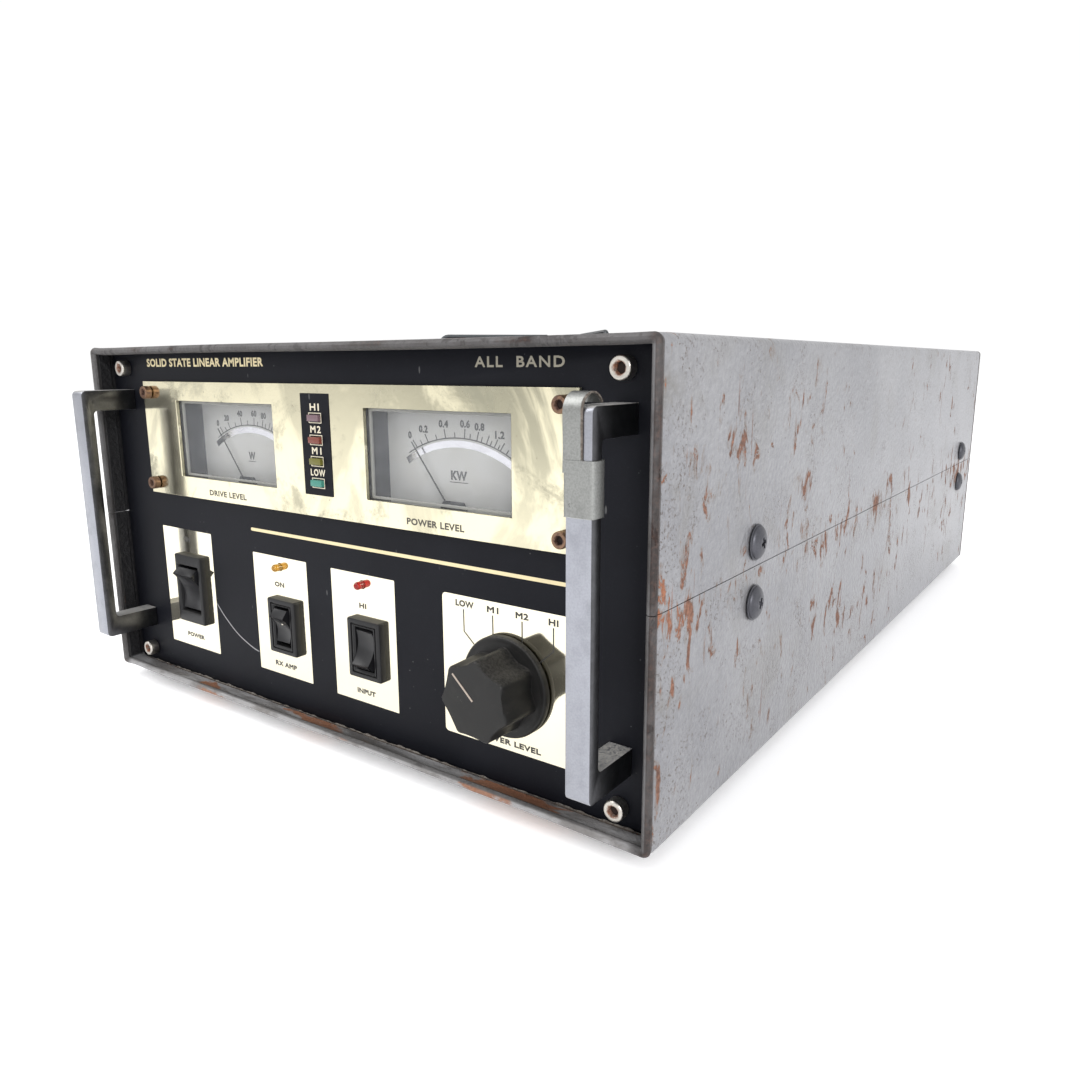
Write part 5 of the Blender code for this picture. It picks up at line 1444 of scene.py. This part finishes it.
@dataclass
class RockerSwitch:
    """Snap-in rocker switch: bezel, inner frame and a ridged rocker."""

    name: str
    centre: tuple[float, float]
    bezel: tuple[float, float]
    slot_half: tuple[float, float]
    tip: float
    way: int
    stepped: bool = True
    pip: Optional[tuple[float, float]] = None
    front: float = 6.6
    panel_face: float = 9.3
    tilt: float = 14.0
    tip_out: float = 2.3
    clear: float = 0.45
    plastic: Finish = Moulding("switch_black", (0.0085, 0.0085, 0.0095), 0.36, 0.05, (0.20, 0.18, 0.15),
                               specular=0.3)
    glossy: Finish = Moulding("rocker_black", (0.0095, 0.0095, 0.0110), 0.26, 0.03, (0.22, 0.20, 0.17),
                              specular=0.35)
    dot: Finish = Ink("cream_dot", (0.72, 0.66, 0.56))

    def build(self) -> None:
        """Bezel and housing, then the rocker with its dot."""
        self.housing()
        self.rocker()

    def housing(self) -> None:
        """Bezel as a lofted frame, its inner step, and the housing behind the panel."""
        x, z = self.centre
        outline = rounded_outline(*self.bezel, 0.9, self.centre, 5)
        hole = rounded_outline(self.slot_half[0], self.slot_half[1], 0.35, self.centre, 5)
        rings = [(outline, self.panel_face - 0.05), (outline, self.front + 0.55),
                 (shrunk(outline, 0.18), self.front + 0.17), (shrunk(outline, 0.55), self.front)]
        if self.stepped:
            wide = rounded_outline(self.slot_half[0] + 1.9, self.slot_half[1] + 1.5, 0.5, self.centre, 5)
            near = rounded_outline(self.slot_half[0] + 0.7, self.slot_half[1] + 0.6, 0.4, self.centre, 5)
            rings += [(wide, self.front), (shrunk(wide, 0.12), self.front + 0.55),
                      (shrunk(wide, 0.62), self.front + 0.55), (shrunk(wide, 0.72), self.front + 0.1),
                      (near, self.front + 0.1), (shrunk(near, 0.2), self.front + 0.3)]
        else:
            near = rounded_outline(self.slot_half[0] + 0.5, self.slot_half[1] + 0.5, 0.4, self.centre, 5)
            rings += [(near, self.front), (shrunk(near, 0.3), self.front + 0.25)]
        floor = self.front + 0.3 * self.slot_half[1] + 2.4 + 0.25 * self.slot_half[1]
        shell = rounded_outline(self.slot_half[0] + 1.5, self.slot_half[1] + 1.8, 0.8, self.centre, 5)
        rings += [(hole, self.front + 0.6), (hole, floor), (hole, floor + 1.0), (shell, floor + 1.0),
                  (shell, self.panel_face - 0.05)]
        piece(f"{self.name}_bezel", frame_ring(rings), self.plastic, replaces=[f"{self.name}_switch"])
        body = box((x - self.slot_half[0] - 1.5, floor + 0.4, z - self.slot_half[1] - 1.8),
                   (x + self.slot_half[0] + 1.5, 32.3, z + self.slot_half[1] + 1.8), 0.5)
        piece(f"{self.name}_housing", body, self.plastic)

    def outline(self) -> Array:
        """Side view of the rocker about its pivot: two sharp ridges with a hollow between, as (y, rise)."""
        depth = 0.3 * self.slot_half[1]
        limit = self.slot_half[1] - self.clear
        tilt = math.radians(self.tilt)
        reach = math.hypot(self.tip, depth + self.tip_out)
        angle = math.atan2(self.tip, depth + self.tip_out) + tilt
        shoulder = math.acos(depth / limit) + tilt
        peak = (-reach * math.cos(angle), reach * math.sin(angle))
        edge = (-limit * math.cos(shoulder), limit * math.sin(shoulder))
        hollow = 0.42 * (depth + self.tip_out)
        share = np.linspace(0.97, -0.97, 25)
        bowl = np.stack([peak[0] + hollow * (1 - share ** 2), share * peak[1]], -1)
        nose = np.array([edge, (peak[0] * 0.97 + edge[0] * 0.03, peak[1] * 0.97 + edge[1] * 0.03),
                         (peak[0], peak[1] * 0.985)])
        back = np.array([(2.4, -0.86 * limit), (2.4, 0.86 * limit)])
        return np.concatenate([nose, bowl, (nose * [1, -1])[::-1], back])

    def rocker(self) -> None:
        """The rocker, tilted to its standing side, with its dot under or over the ridge."""
        x, z = self.centre
        pivot = self.front + 0.3 * self.slot_half[1]
        angle = self.way * math.radians(self.tilt)
        turn = np.array([[math.cos(angle), math.sin(angle)], [-math.sin(angle), math.cos(angle)]])
        placed = self.outline() @ turn + [pivot, z]
        half = self.slot_half[0] - self.clear
        solid = slab(placed[::-1], "x", x - half, x + half, 0.22)
        piece(f"{self.name}_paddle", solid, self.glossy, f"{self.name}_rocker", [f"{self.name}_rocker"])
        if self.pip:
            rise, sunk = self.pip
            local = np.array([sunk, rise]) @ turn
            y, height = local[0] + pivot, local[1] + z
            disc = turned([(0.1, y - 0.10), (0.62, y - 0.08), (0.72, y + 0.05), (0.72, y + 0.9),
                           (0.1, y + 1.0)], "y",
                          (x, height), 24)
            piece(f"{self.name}_dot", disc, self.dot, f"{self.name}_rocker")


@dataclass
class RoundLights:
    """Amber and red three-millimetre lights over two of the switches."""

    height: float = 62.2
    tip: float = 5.5
    radius: float = 1.5
    panel_face: float = 9.3
    kinds: tuple[tuple[str, float, Colour, str], ...] = (
        ("receive_light", -29.4, (0.66, 0.36, 0.045), "amber_light"),
        ("input_light", 18.8, (0.52, 0.020, 0.012), "red_light"))

    def build(self) -> None:
        """A bullet-shaped lens with a rim behind the panel for each."""
        r = self.radius
        angle = np.radians(np.linspace(88, 0, 9))
        dome = [(float(r * np.cos(a)), float(self.tip + r - r * np.sin(a))) for a in angle]
        profile = dome + [(r, 12.5), (1.4 * r, 12.6), (1.4 * r, 13.6)]
        for name, x, colour, slot in self.kinds:
            lens = TintedLens(f"{name}_lens", colour, 0.06, transmission=0.6)
            piece(f"{name}_lens", turned(profile, "y", (x, self.height), 32), lens, replaces=[name])


@dataclass
class LevelKnob:
    """Seven-sided knob on a round skirt, with a cut pointer line."""

    x: float = 86.75
    z: float = 38.3
    front: float = -8.5
    corner: float = 14.4
    skirt: float = 17.4
    panel_face: float = 9.3
    pointer: float = 137.0
    plastic: Finish = Moulding("knob_charcoal", (0.0105, 0.0102, 0.0100), 0.42, 0.30, (0.115, 0.108, 0.098),
                               specular=0.28)
    line: Finish = Ink("pointer_line", (0.36, 0.30, 0.25))
    sides: int = 7 * 32

    def build(self) -> None:
        """Grip, skirt and shaft as one turned surface, then the pointer line."""
        phase = math.radians(self.pointer)
        hollow = 0.055
        face = polygon_factor(7, 0.016, phase, 0.010)
        grip = polygon_factor(7, hollow, phase, 0.018)
        base = polygon_factor(7, hollow * 1.35, phase, 0.03)
        back = self.panel_face - 0.5
        profile = [(0.3, self.front + 0.18), (6.0, self.front + 0.15),
                   (self.corner - 1.55, self.front + 0.02), (self.corner - 1.15, self.front + 0.06),
                   (self.corner - 0.75, self.front + 0.35), (self.corner - 0.45, self.front + 0.9),
                   (self.corner - 0.1, back - 3.6), (self.corner + 0.05, back - 2.6),
                   (self.corner + 0.2, back - 2.35), (15.1, back - 2.3), (15.9, back - 2.3),
                   (16.3, back - 2.42), (self.skirt - 0.55, back - 2.35), (self.skirt - 0.2, back - 2.0),
                   (self.skirt, back - 1.6), (self.skirt, back - 0.2), (self.skirt - 0.2, back), (3.0, back),
                   (3.0, 23.3)]
        shapes = {1: face, 2: face, 3: face, 4: grip, 5: grip, 6: grip, 7: base, 8: base}
        knob = turned(profile, "y", (self.x, self.z), self.sides, staged(shapes))
        piece("knob_grip", knob, self.plastic, "knob", ["level_knob"])
        way = np.array([math.cos(phase), math.sin(phase)])
        centre = np.array([self.x, self.z])
        ends = [centre + way * 0.3, centre + way * 11.4]
        mark = slab(sheet_outline(np.array(ends), 0.62), "y", self.front - 0.0, self.front + 0.35)
        piece("knob_pointer", mark, self.line, "knob")


@dataclass
class Handles:
    """Two rack handles and the sheet clip on the right one."""

    x: float = 130.0
    half: float = 4.1
    low: float = 20.4
    high: float = 131.4
    front: float = -14.8
    bar: float = 4.8
    arm: float = 8.8
    end: float = 9.0
    chrome: Finish = BarChrome("satin_chrome", (0.36, 0.37, 0.41), 0.27, 0.10, (0.10, 0.085, 0.075),
                               lump=1.2 * MM, contrast=0.35, dust=0.75)
    zinc: Finish = ClipZinc("galvanised_clip", (0.30, 0.305, 0.295), 0.34, 0.42, (0.075, 0.062, 0.052),
                            lump=8.0 * MM, contrast=0.6)

    def outline(self) -> Array:
        """Side view as (y, z): bar, rounded outer corners, and arms with filleted inner corners."""
        back = self.front + self.bar
        r, fillet = 2.2, 1.6
        top = arc((self.front + r, self.high - r), r, 180, 90, 7)
        inner_top = arc((back + fillet, self.high - self.arm - fillet), fillet, 90, 180, 6)
        inner_low = arc((back + fillet, self.low + self.arm + fillet), fillet, 180, 270, 6)
        low = arc((self.front + r, self.low + r), r, 270, 180, 7)
        parts = [top, [(self.end, self.high), (self.end, self.high - self.arm)], inner_top, inner_low,
                 [(self.end, self.low + self.arm), (self.end, self.low)], low]
        return np.concatenate([np.asarray(part, float) for part in parts])[::-1]

    def build(self) -> None:
        """Both handles, then the clip."""
        for side, label in ((-1, "left"), (1, "right")):
            x = side * self.x
            solid = slab(self.outline(), "x", x - self.half, x + self.half, 0.3)
            piece(f"handle_{label}_bar", solid, self.chrome, replaces=[f"handle_{label}"])
        self.clip()

    def clip(self) -> None:
        """Sleeve bent round the bar with lips behind it, and a strap that curls over the handle's top."""
        t, x = 0.5, self.x
        half = self.half + 0.3 + t / 2
        front = self.front - 0.15 - t / 2
        back = self.front + self.bar + 0.3 + t / 2
        r = 0.9
        path = [[(x - half + 2.2, back)], arc((x - half + r, back - r), r, 90, 180, 5),
                arc((x - half + r, front + r), r, 180, 270, 5),
                arc((x + half - r, front + r), r, 270, 360, 5), arc((x + half - r, back - r), r, 0, 90, 5),
                [(x + half - 2.2, back)]]
        outline = sheet_outline(np.concatenate([np.asarray(part, float) for part in path]), t)
        sleeve = slab(outline[::-1], "z", 102.3, 117.5, 0.1, 2)
        curl = 5.2
        centre = (front + curl, self.high - 1.8)
        run = np.concatenate([np.linspace([front, 114.0], [front, centre[1]], 6)[:-1],
                              arc(centre, curl, 180, 28, 20)])
        side = sheet_outline(run, t)
        strap = slab(side, "x", x - half - 0.15, x + 1.4, 0.1, 2)
        clip = sleeve + strap
        y = clip.points[:, 1]
        z = clip.points[:, 2]
        clip.points[:, 1] = y + np.where(z < 128, 0.10 * (1 + np.sin(z / 2.9 + clip.points[:, 0] / 3.0)), 0.0)
        piece("clip_sheet", clip, self.zinc, replaces=["handle_clip"])
        rim = turned([(0.42, front - 0.02), (0.55, front - 0.22), (0.80, front - 0.10), (0.88, front + 0.2),
                      (0.42, front + 0.2)], "y", (x - 2.2, 105.6), 24)
        piece("clip_hole_rim", rim, self.zinc)


@dataclass
class Feet:
    """Four rubber feet with a dished underside."""

    x: float = 118.0
    places_y: tuple[float, float] = (40.0, 444.0)
    radius: float = 11.0
    rubber: Finish = Moulding("foot_rubber", (0.022, 0.021, 0.020), 0.75, 0.35)

    def build(self) -> None:
        """Turned pads with a rounded rim and a recess for their screws."""
        r = self.radius
        profile = [(0.4, -3.2), (3.6, -3.2), (3.9, -3.5), (4.3, -5.25), (r - 1.6, -5.3), (r - 0.7, -5.1),
                   (r - 0.25, -4.6), (r - 0.05, -3.9), (r, -0.5), (r - 0.3, -0.3)]
        for side, label in ((-1, "left"), (1, "right")):
            for y, end in zip(self.places_y, ("front", "rear")):
                node = f"foot_{label}_{end}"
                piece(f"{node}_pad", turned(profile, "z", (side * self.x, y), 64), self.rubber,
                      replaces=[node])


@dataclass
class Fan:
    """Cooling fan under the top cover: frame, seven-bladed rotor and a welded wire guard."""

    y: float = 180.0
    bore: float = 56.0
    hub: float = 19.0
    top: float = 148.5
    height: float = 25.0
    guard_top: float = 157.0
    wire: float = 1.1
    rings: tuple[float, ...] = (20.0, 31.0, 42.0, 53.0)
    blades: int = 7
    plastic: Finish = Moulding("fan_black", (0.020, 0.020, 0.021), 0.45, 0.4)
    chrome: Finish = PlatedMetal("guard_wire", (0.075, 0.08, 0.085), 0.34, 0.22)

    def build(self) -> None:
        """Frame from the CAD with rounded edges, then rotor and guard."""
        refined("fan_frame", self.plastic, 0.5)
        self.rotor()
        self.guard()

    def rotor(self) -> None:
        """Hub, and blades whose pitch and sweep change with the radius."""
        low = self.top - self.height
        hub = turned([(2.0, low + 4.0), (self.hub, low + 4.0), (self.hub, self.top - 3.6),
                      (self.hub - 0.5, self.top - 2.7), (self.hub - 1.6, self.top - 2.2),
                      (10.0, self.top - 2.0), (9.6, self.top - 2.3), (2.0, self.top - 2.3)],
                     "z", (0.0, self.y), 72)
        across = np.linspace(-1, 1, 13)
        edge = np.concatenate([np.stack([across, -np.sqrt(np.clip(1 - across ** 2, 0.02, 1))], -1),
                               np.stack([across, np.sqrt(np.clip(1 - across ** 2, 0.02, 1))], -1)[::-1]])
        solids = [hub]
        for i in range(self.blades):
            rings = []
            for r in np.linspace(self.hub - 1.5, self.bore - 1.8, 12):
                share = (r - self.hub) / (self.bore - self.hub)
                chord = 0.36 - 0.13 * share
                rise = 7.2 - 1.8 * share
                angle = 2 * np.pi * i / self.blades + 0.16 * share + chord * edge[:, 0]
                z = low + 13.0 + rise * edge[:, 0] + 1.6 * (1 - edge[:, 0] ** 2) + 0.75 * edge[:, 1]
                rings.append(np.stack([r * np.cos(angle), self.y + r * np.sin(angle), z], -1))
            solids.append(loft(np.stack(rings)))
        piece("rotor_blades", summed(solids), self.plastic, "rotor", ["fan_rotor"])

    def guard(self) -> None:
        """Concentric wire rings under four radial legs that end in flat eyes on the cover."""
        w = self.wire
        angle = np.linspace(0, 2 * np.pi, 96, endpoint=False)
        ring_z = self.guard_top - 3.0 * w
        solids = []
        for r in self.rings:
            path = np.stack([r * np.cos(angle), self.y + r * np.sin(angle), np.full(96, ring_z)], -1)
            solids.append(tube(path, w, (0, 0, 1), 10, True))
        for i in range(4):
            turn = math.pi / 4 + i * math.pi / 2
            high = self.guard_top - w
            flat = np.array([[15.0, high], [66.0, high]])
            bend = arc((66.0, high - 4.0), 4.0, 90, 0, 6)
            foot = arc((73.2, 151.6 + 2.6), 3.2, 180, 270, 6)
            run = np.concatenate([np.linspace(flat[0], flat[1], 12)[:-1], bend, foot, [[75.5, 151.1]]])
            path = np.stack([run[:, 0] * math.cos(turn), self.y + run[:, 0] * math.sin(turn), run[:, 1]], -1)
            solids.append(tube(path, w * 0.98, (-math.sin(turn), math.cos(turn), 0), 10))
            place = (76.0 * math.cos(turn), self.y + 76.0 * math.sin(turn))
            eye = [(1.8, 150.35), (4.0, 150.35), (4.2, 150.6), (4.2, 151.3), (4.0, 151.5), (1.8, 151.5)]
            solids.append(turned(eye, "z", place, 32))
            head = [(0.3, 151.9), (1.0, 151.95), (1.3, 153.2), (2.6, 153.0), (3.1, 152.4), (3.2, 151.5),
                    (0.3, 151.5)]
            solids.append(turned(head, "z", place, 32))
        piece("guard_wires", summed(solids), self.chrome, replaces=["fan_guard"])


@dataclass
class Inside:
    """Tray, heat sink, board, transformer and rotary switch inside the covers."""

    sheet: Finish = PlatedMetal("galvanised_tray", (0.44, 0.45, 0.45), 0.42, 0.12, (0.12, 0.08, 0.06),
                                lump=6.0 * MM)
    alloy: Finish = PlatedMetal("sink_aluminium", (0.62, 0.63, 0.64), 0.34, 0.05, grain=(1.0, 0.1, 1.0))
    black: Finish = Moulding("part_black", (0.02, 0.02, 0.02), 0.4, 0.2)

    def build(self) -> None:
        """The right shapes from the CAD, their edges rounded, and each in its own finish."""
        refined("chassis_tray", self.sheet, 0.3)
        refined("heat_sink", self.alloy, 0.25)
        refined("amplifier_board", Board("board_green"), 0.15)
        refined("transformer", Winding("copper_winding", (0.0, 375.0 * MM)), 0.0)
        refined("rotary_switch", self.alloy, 0.15)


@dataclass
class RearPanel:
    """Rear panel with radio-frequency sockets, mains inlet, fuse holder and ground post."""

    face: float = 474.7
    level: float = 45.0
    socket_x: tuple[float, float] = (-95.0, -45.0)
    inlet_x: float = 88.0
    fuse_x: float = 42.0
    ground_x: float = 5.0
    paint: Finish = SatinBlack("rear_black")
    nickel: Finish = PlatedMetal("socket_nickel", (0.66, 0.64, 0.60), 0.22, 0.12, (0.14, 0.08, 0.05))
    white: Finish = Moulding("socket_insulator", (0.62, 0.60, 0.55), 0.5, 0.2)
    brass: Finish = PlatedMetal("post_brass", (0.62, 0.46, 0.20), 0.28, 0.15, (0.10, 0.06, 0.03))
    plastic: Finish = Moulding("inlet_black", (0.018, 0.018, 0.019), 0.38, 0.25)
    print_gold: Finish = Ink("rear_print", (0.62, 0.60, 0.52))

    def coaxial(self, x: float, label: str) -> None:
        """Square flange with four screws, a barrel with rounded threads, the insulator and its contact."""
        z = self.level
        face = self.face + 0.3
        thread = []
        for k in np.arange(0.0, 14.0, 1.06):
            thread += [(7.55, face + 2.9 + k), (7.9, face + 3.2 + k), (7.9, face + 3.5 + k),
                       (7.55, face + 3.8 + k)]
        barrel = [(2.0, 462.0), (7.4, 467.0), (7.4, face), (10.0, face), (10.0, face + 1.9),
                  (8.4, face + 2.0), (7.55, face + 2.4)] + thread + [(7.4, face + 17.8), (7.0, face + 18.0),
                                                                     (5.9, face + 18.0),
                                                 (5.6, face + 17.6), (5.6, face + 9.0), (2.6, face + 9.0)]
        flange = frame_ring([(rounded_outline(12.5, 12.5, 1.6, (x, z), 6), face),
                             (rounded_outline(12.5, 12.5, 1.6, (x, z), 6), face + 1.4),
                             (rounded_outline(12.1, 12.1, 1.4, (x, z), 6), face + 1.8),
                             (rounded_outline(7.0, 7.0, 6.9, (x, z), 6), face + 1.8),
                             (rounded_outline(7.0, 7.0, 6.9, (x, z), 6), face)])
        screws = [turned([(1.9, face + 1.0), (1.9, face + 2.2), (1.6, face + 2.9), (0.3, face + 3.1)], "y",
                         (x + sx * 9.2, z + sz * 9.2), 20) for sx in (-1, 1) for sz in (-1, 1)]
        piece(f"rf_{label}_barrel", turned(barrel, "y", (x, z), 64) + flange + summed(screws), self.nickel,
              replaces=[f"rf_{label}_socket"])
        core = [(0.3, face + 8.8), (5.5, face + 8.8), (5.5, face + 12.4), (4.6, face + 12.8),
                (2.4, face + 12.8), (2.4, face + 11.5), (0.3, face + 11.5)]
        piece(f"rf_{label}_insulator", turned(core, "y", (x, z), 48), self.white)
        contact = [(0.9, face + 10.0), (1.2, face + 11.5), (2.0, face + 11.5), (2.0, face + 13.4),
                   (1.7, face + 13.8), (1.2, face + 13.8), (1.1, face + 12.0)]
        piece(f"rf_{label}_contact", turned(contact, "y", (x, z), 32), self.brass)

    def build(self) -> None:
        """Panel and every fitting, with plain function words."""
        refined("rear_panel", self.paint, 0.2)
        for x, label in zip(self.socket_x, ("input", "output")):
            self.coaxial(x, label)
        refined("mains_inlet", self.plastic, 0.35)
        refined("fuse_holder", self.plastic, 0.25)
        refined("fuse_cap", self.plastic, 0.2)
        refined("ground_post", self.brass, 0.15)
        for name, words, x, half in (("input", "RF IN", self.socket_x[0], 6.5),
                                     ("output", "RF OUT", self.socket_x[1], 7.5),
                                     ("ground", "GND", self.ground_x, 4.4),
                                     ("fuse", "FUSE", self.fuse_x, 5.5),
                                     ("mains", "AC IN", self.inlet_x, 6.0)):
            lettering(f"rear_label_{name}", words, (x - half, x + half), (64.0, 67.0), self.face,
                      self.print_gold, 0.01, Side.REAR)


@dataclass
class Studio:
    """Pale floor, soft lights and the camera."""

    place: tuple[float, float, float] = (0.24821, -0.43735, 0.14692)
    yaw: float = 0.6264
    pitch: float = -0.2061
    roll: float = math.radians(-0.22)
    lens: float = 27.915

    def build(self) -> None:
        """Make everything that is not the object."""
        self.floor()
        self.lights()
        self.camera()
        bpy.context.scene.view_settings.view_transform = "Standard"

    def floor(self) -> None:
        """Wide flat disc, a hair under the feet."""
        angle = np.linspace(0, 2 * np.pi, 96, endpoint=False)
        points = np.stack([6 * np.cos(angle), 6 * np.sin(angle), np.full(96, -0.0002)], -1)
        mesh = bpy.data.meshes.new("floor")
        mesh.from_pydata(points.tolist(), [], [list(range(96))])
        mesh.materials.append(StudioFloor("studio_floor").material())
        made = bpy.data.objects.new("floor", mesh)
        bpy.context.scene.collection.objects.link(made)

    def lights(self) -> None:
        """White surroundings, a large soft light over the left front and a weaker one on the right."""
        world = bpy.data.worlds.new("studio")
        bpy.context.scene.world = world
        world.use_nodes = True
        back = world.node_tree.nodes["Background"]
        back.inputs["Color"].default_value = (1.0, 1.0, 1.0, 1.0)
        back.inputs["Strength"].default_value = 1.02
        for name, place, aim, size, power in (
                ("key", (-0.9, -0.9, 1.7), (0.0, 0.0, 0.05), 1.4, 18.0),
                ("fill", (1.5, -1.3, 0.9), (0.1, 0.0, 0.05), 0.7, 16.0)):
            data = bpy.data.lights.new(name, "AREA")
            data.size = size
            data.energy = power
            lamp = bpy.data.objects.new(name, data)
            lamp.location = place
            way = np.array(aim) - np.array(place)
            lamp.rotation_euler = (math.acos(-way[2] / np.linalg.norm(way)), 0.0, math.atan2(-way[0], way[1]))
            bpy.context.scene.collection.objects.link(lamp)

    def camera(self) -> None:
        """Camera a little above the switches, in front and to the right."""
        data = bpy.data.cameras.new("camera")
        data.sensor_width = 36.0
        data.lens = self.lens
        data.clip_start = 0.01
        eye = bpy.data.objects.new("camera", data)
        eye.location = self.place
        eye.rotation_mode = "ZXY"
        turn = (Matrix.Rotation(self.yaw, 3, "Z") @ Matrix.Rotation(math.pi / 2 + self.pitch, 3, "X")
                @ Matrix.Rotation(self.roll, 3, "Z"))
        eye.rotation_mode = "XYZ"
        eye.rotation_euler = turn.to_euler("XYZ")
        bpy.context.scene.collection.objects.link(eye)
        bpy.context.scene.camera = eye


POWER_NUMBERS = (("0", -23.0, 117.4, 1.7), ("0.2", -16.4, 119.75, 4.3), ("0.4", -6.85, 121.9, 4.4),
                 ("0.6", 2.95, 122.2, 4.4), ("0.8", 9.3, 121.45, 4.3), ("1.2", 17.9, 119.1, 4.0))
DRIVE_NUMBERS = (("0", -23.0, 117.4, 1.7), ("20", -16.4, 119.75, 3.5), ("40", -6.85, 121.9, 3.7),
                 ("60", 2.95, 122.2, 3.7), ("80", 9.3, 121.45, 3.5), ("100", 17.9, 119.1, 4.7))


def main() -> None:
    """Build each sub-assembly in order."""
    logging.basicConfig(level=logging.INFO, format="%(name)s: %(message)s")
    parts = (Studio(), Covers(), CoverScrews(), FrontPanel(), CapScrews(), MeterPlate(),
             Meter("left", -58.0, DRIVE_NUMBERS, "W", "left_needle"),
             Meter("right", 58.0, POWER_NUMBERS, "KW", "right_needle"),
             RockerSwitch("power", (-92.1, 43.6), (9.8, 15.6), (7.4, 10.6), 7.2, 1, False, tip_out=2.9),
             RockerSwitch("receive", (-27.4, 37.8), (8.5, 11.5), (4.6, 8.3), 4.6, 1, True, (2.0, -1.6)),
             RockerSwitch("input", (20.8, 37.8), (8.7, 11.6), (4.8, 8.3), 5.4, -1, True, (5.0, -2.2)),
             RoundLights(), LevelKnob(), Handles(), Feet(), Fan(), Inside(), RearPanel())
    for part in parts:
        log.info("building %s", type(part).__name__)
        part.build()


if __name__ == "__main__":
    main()
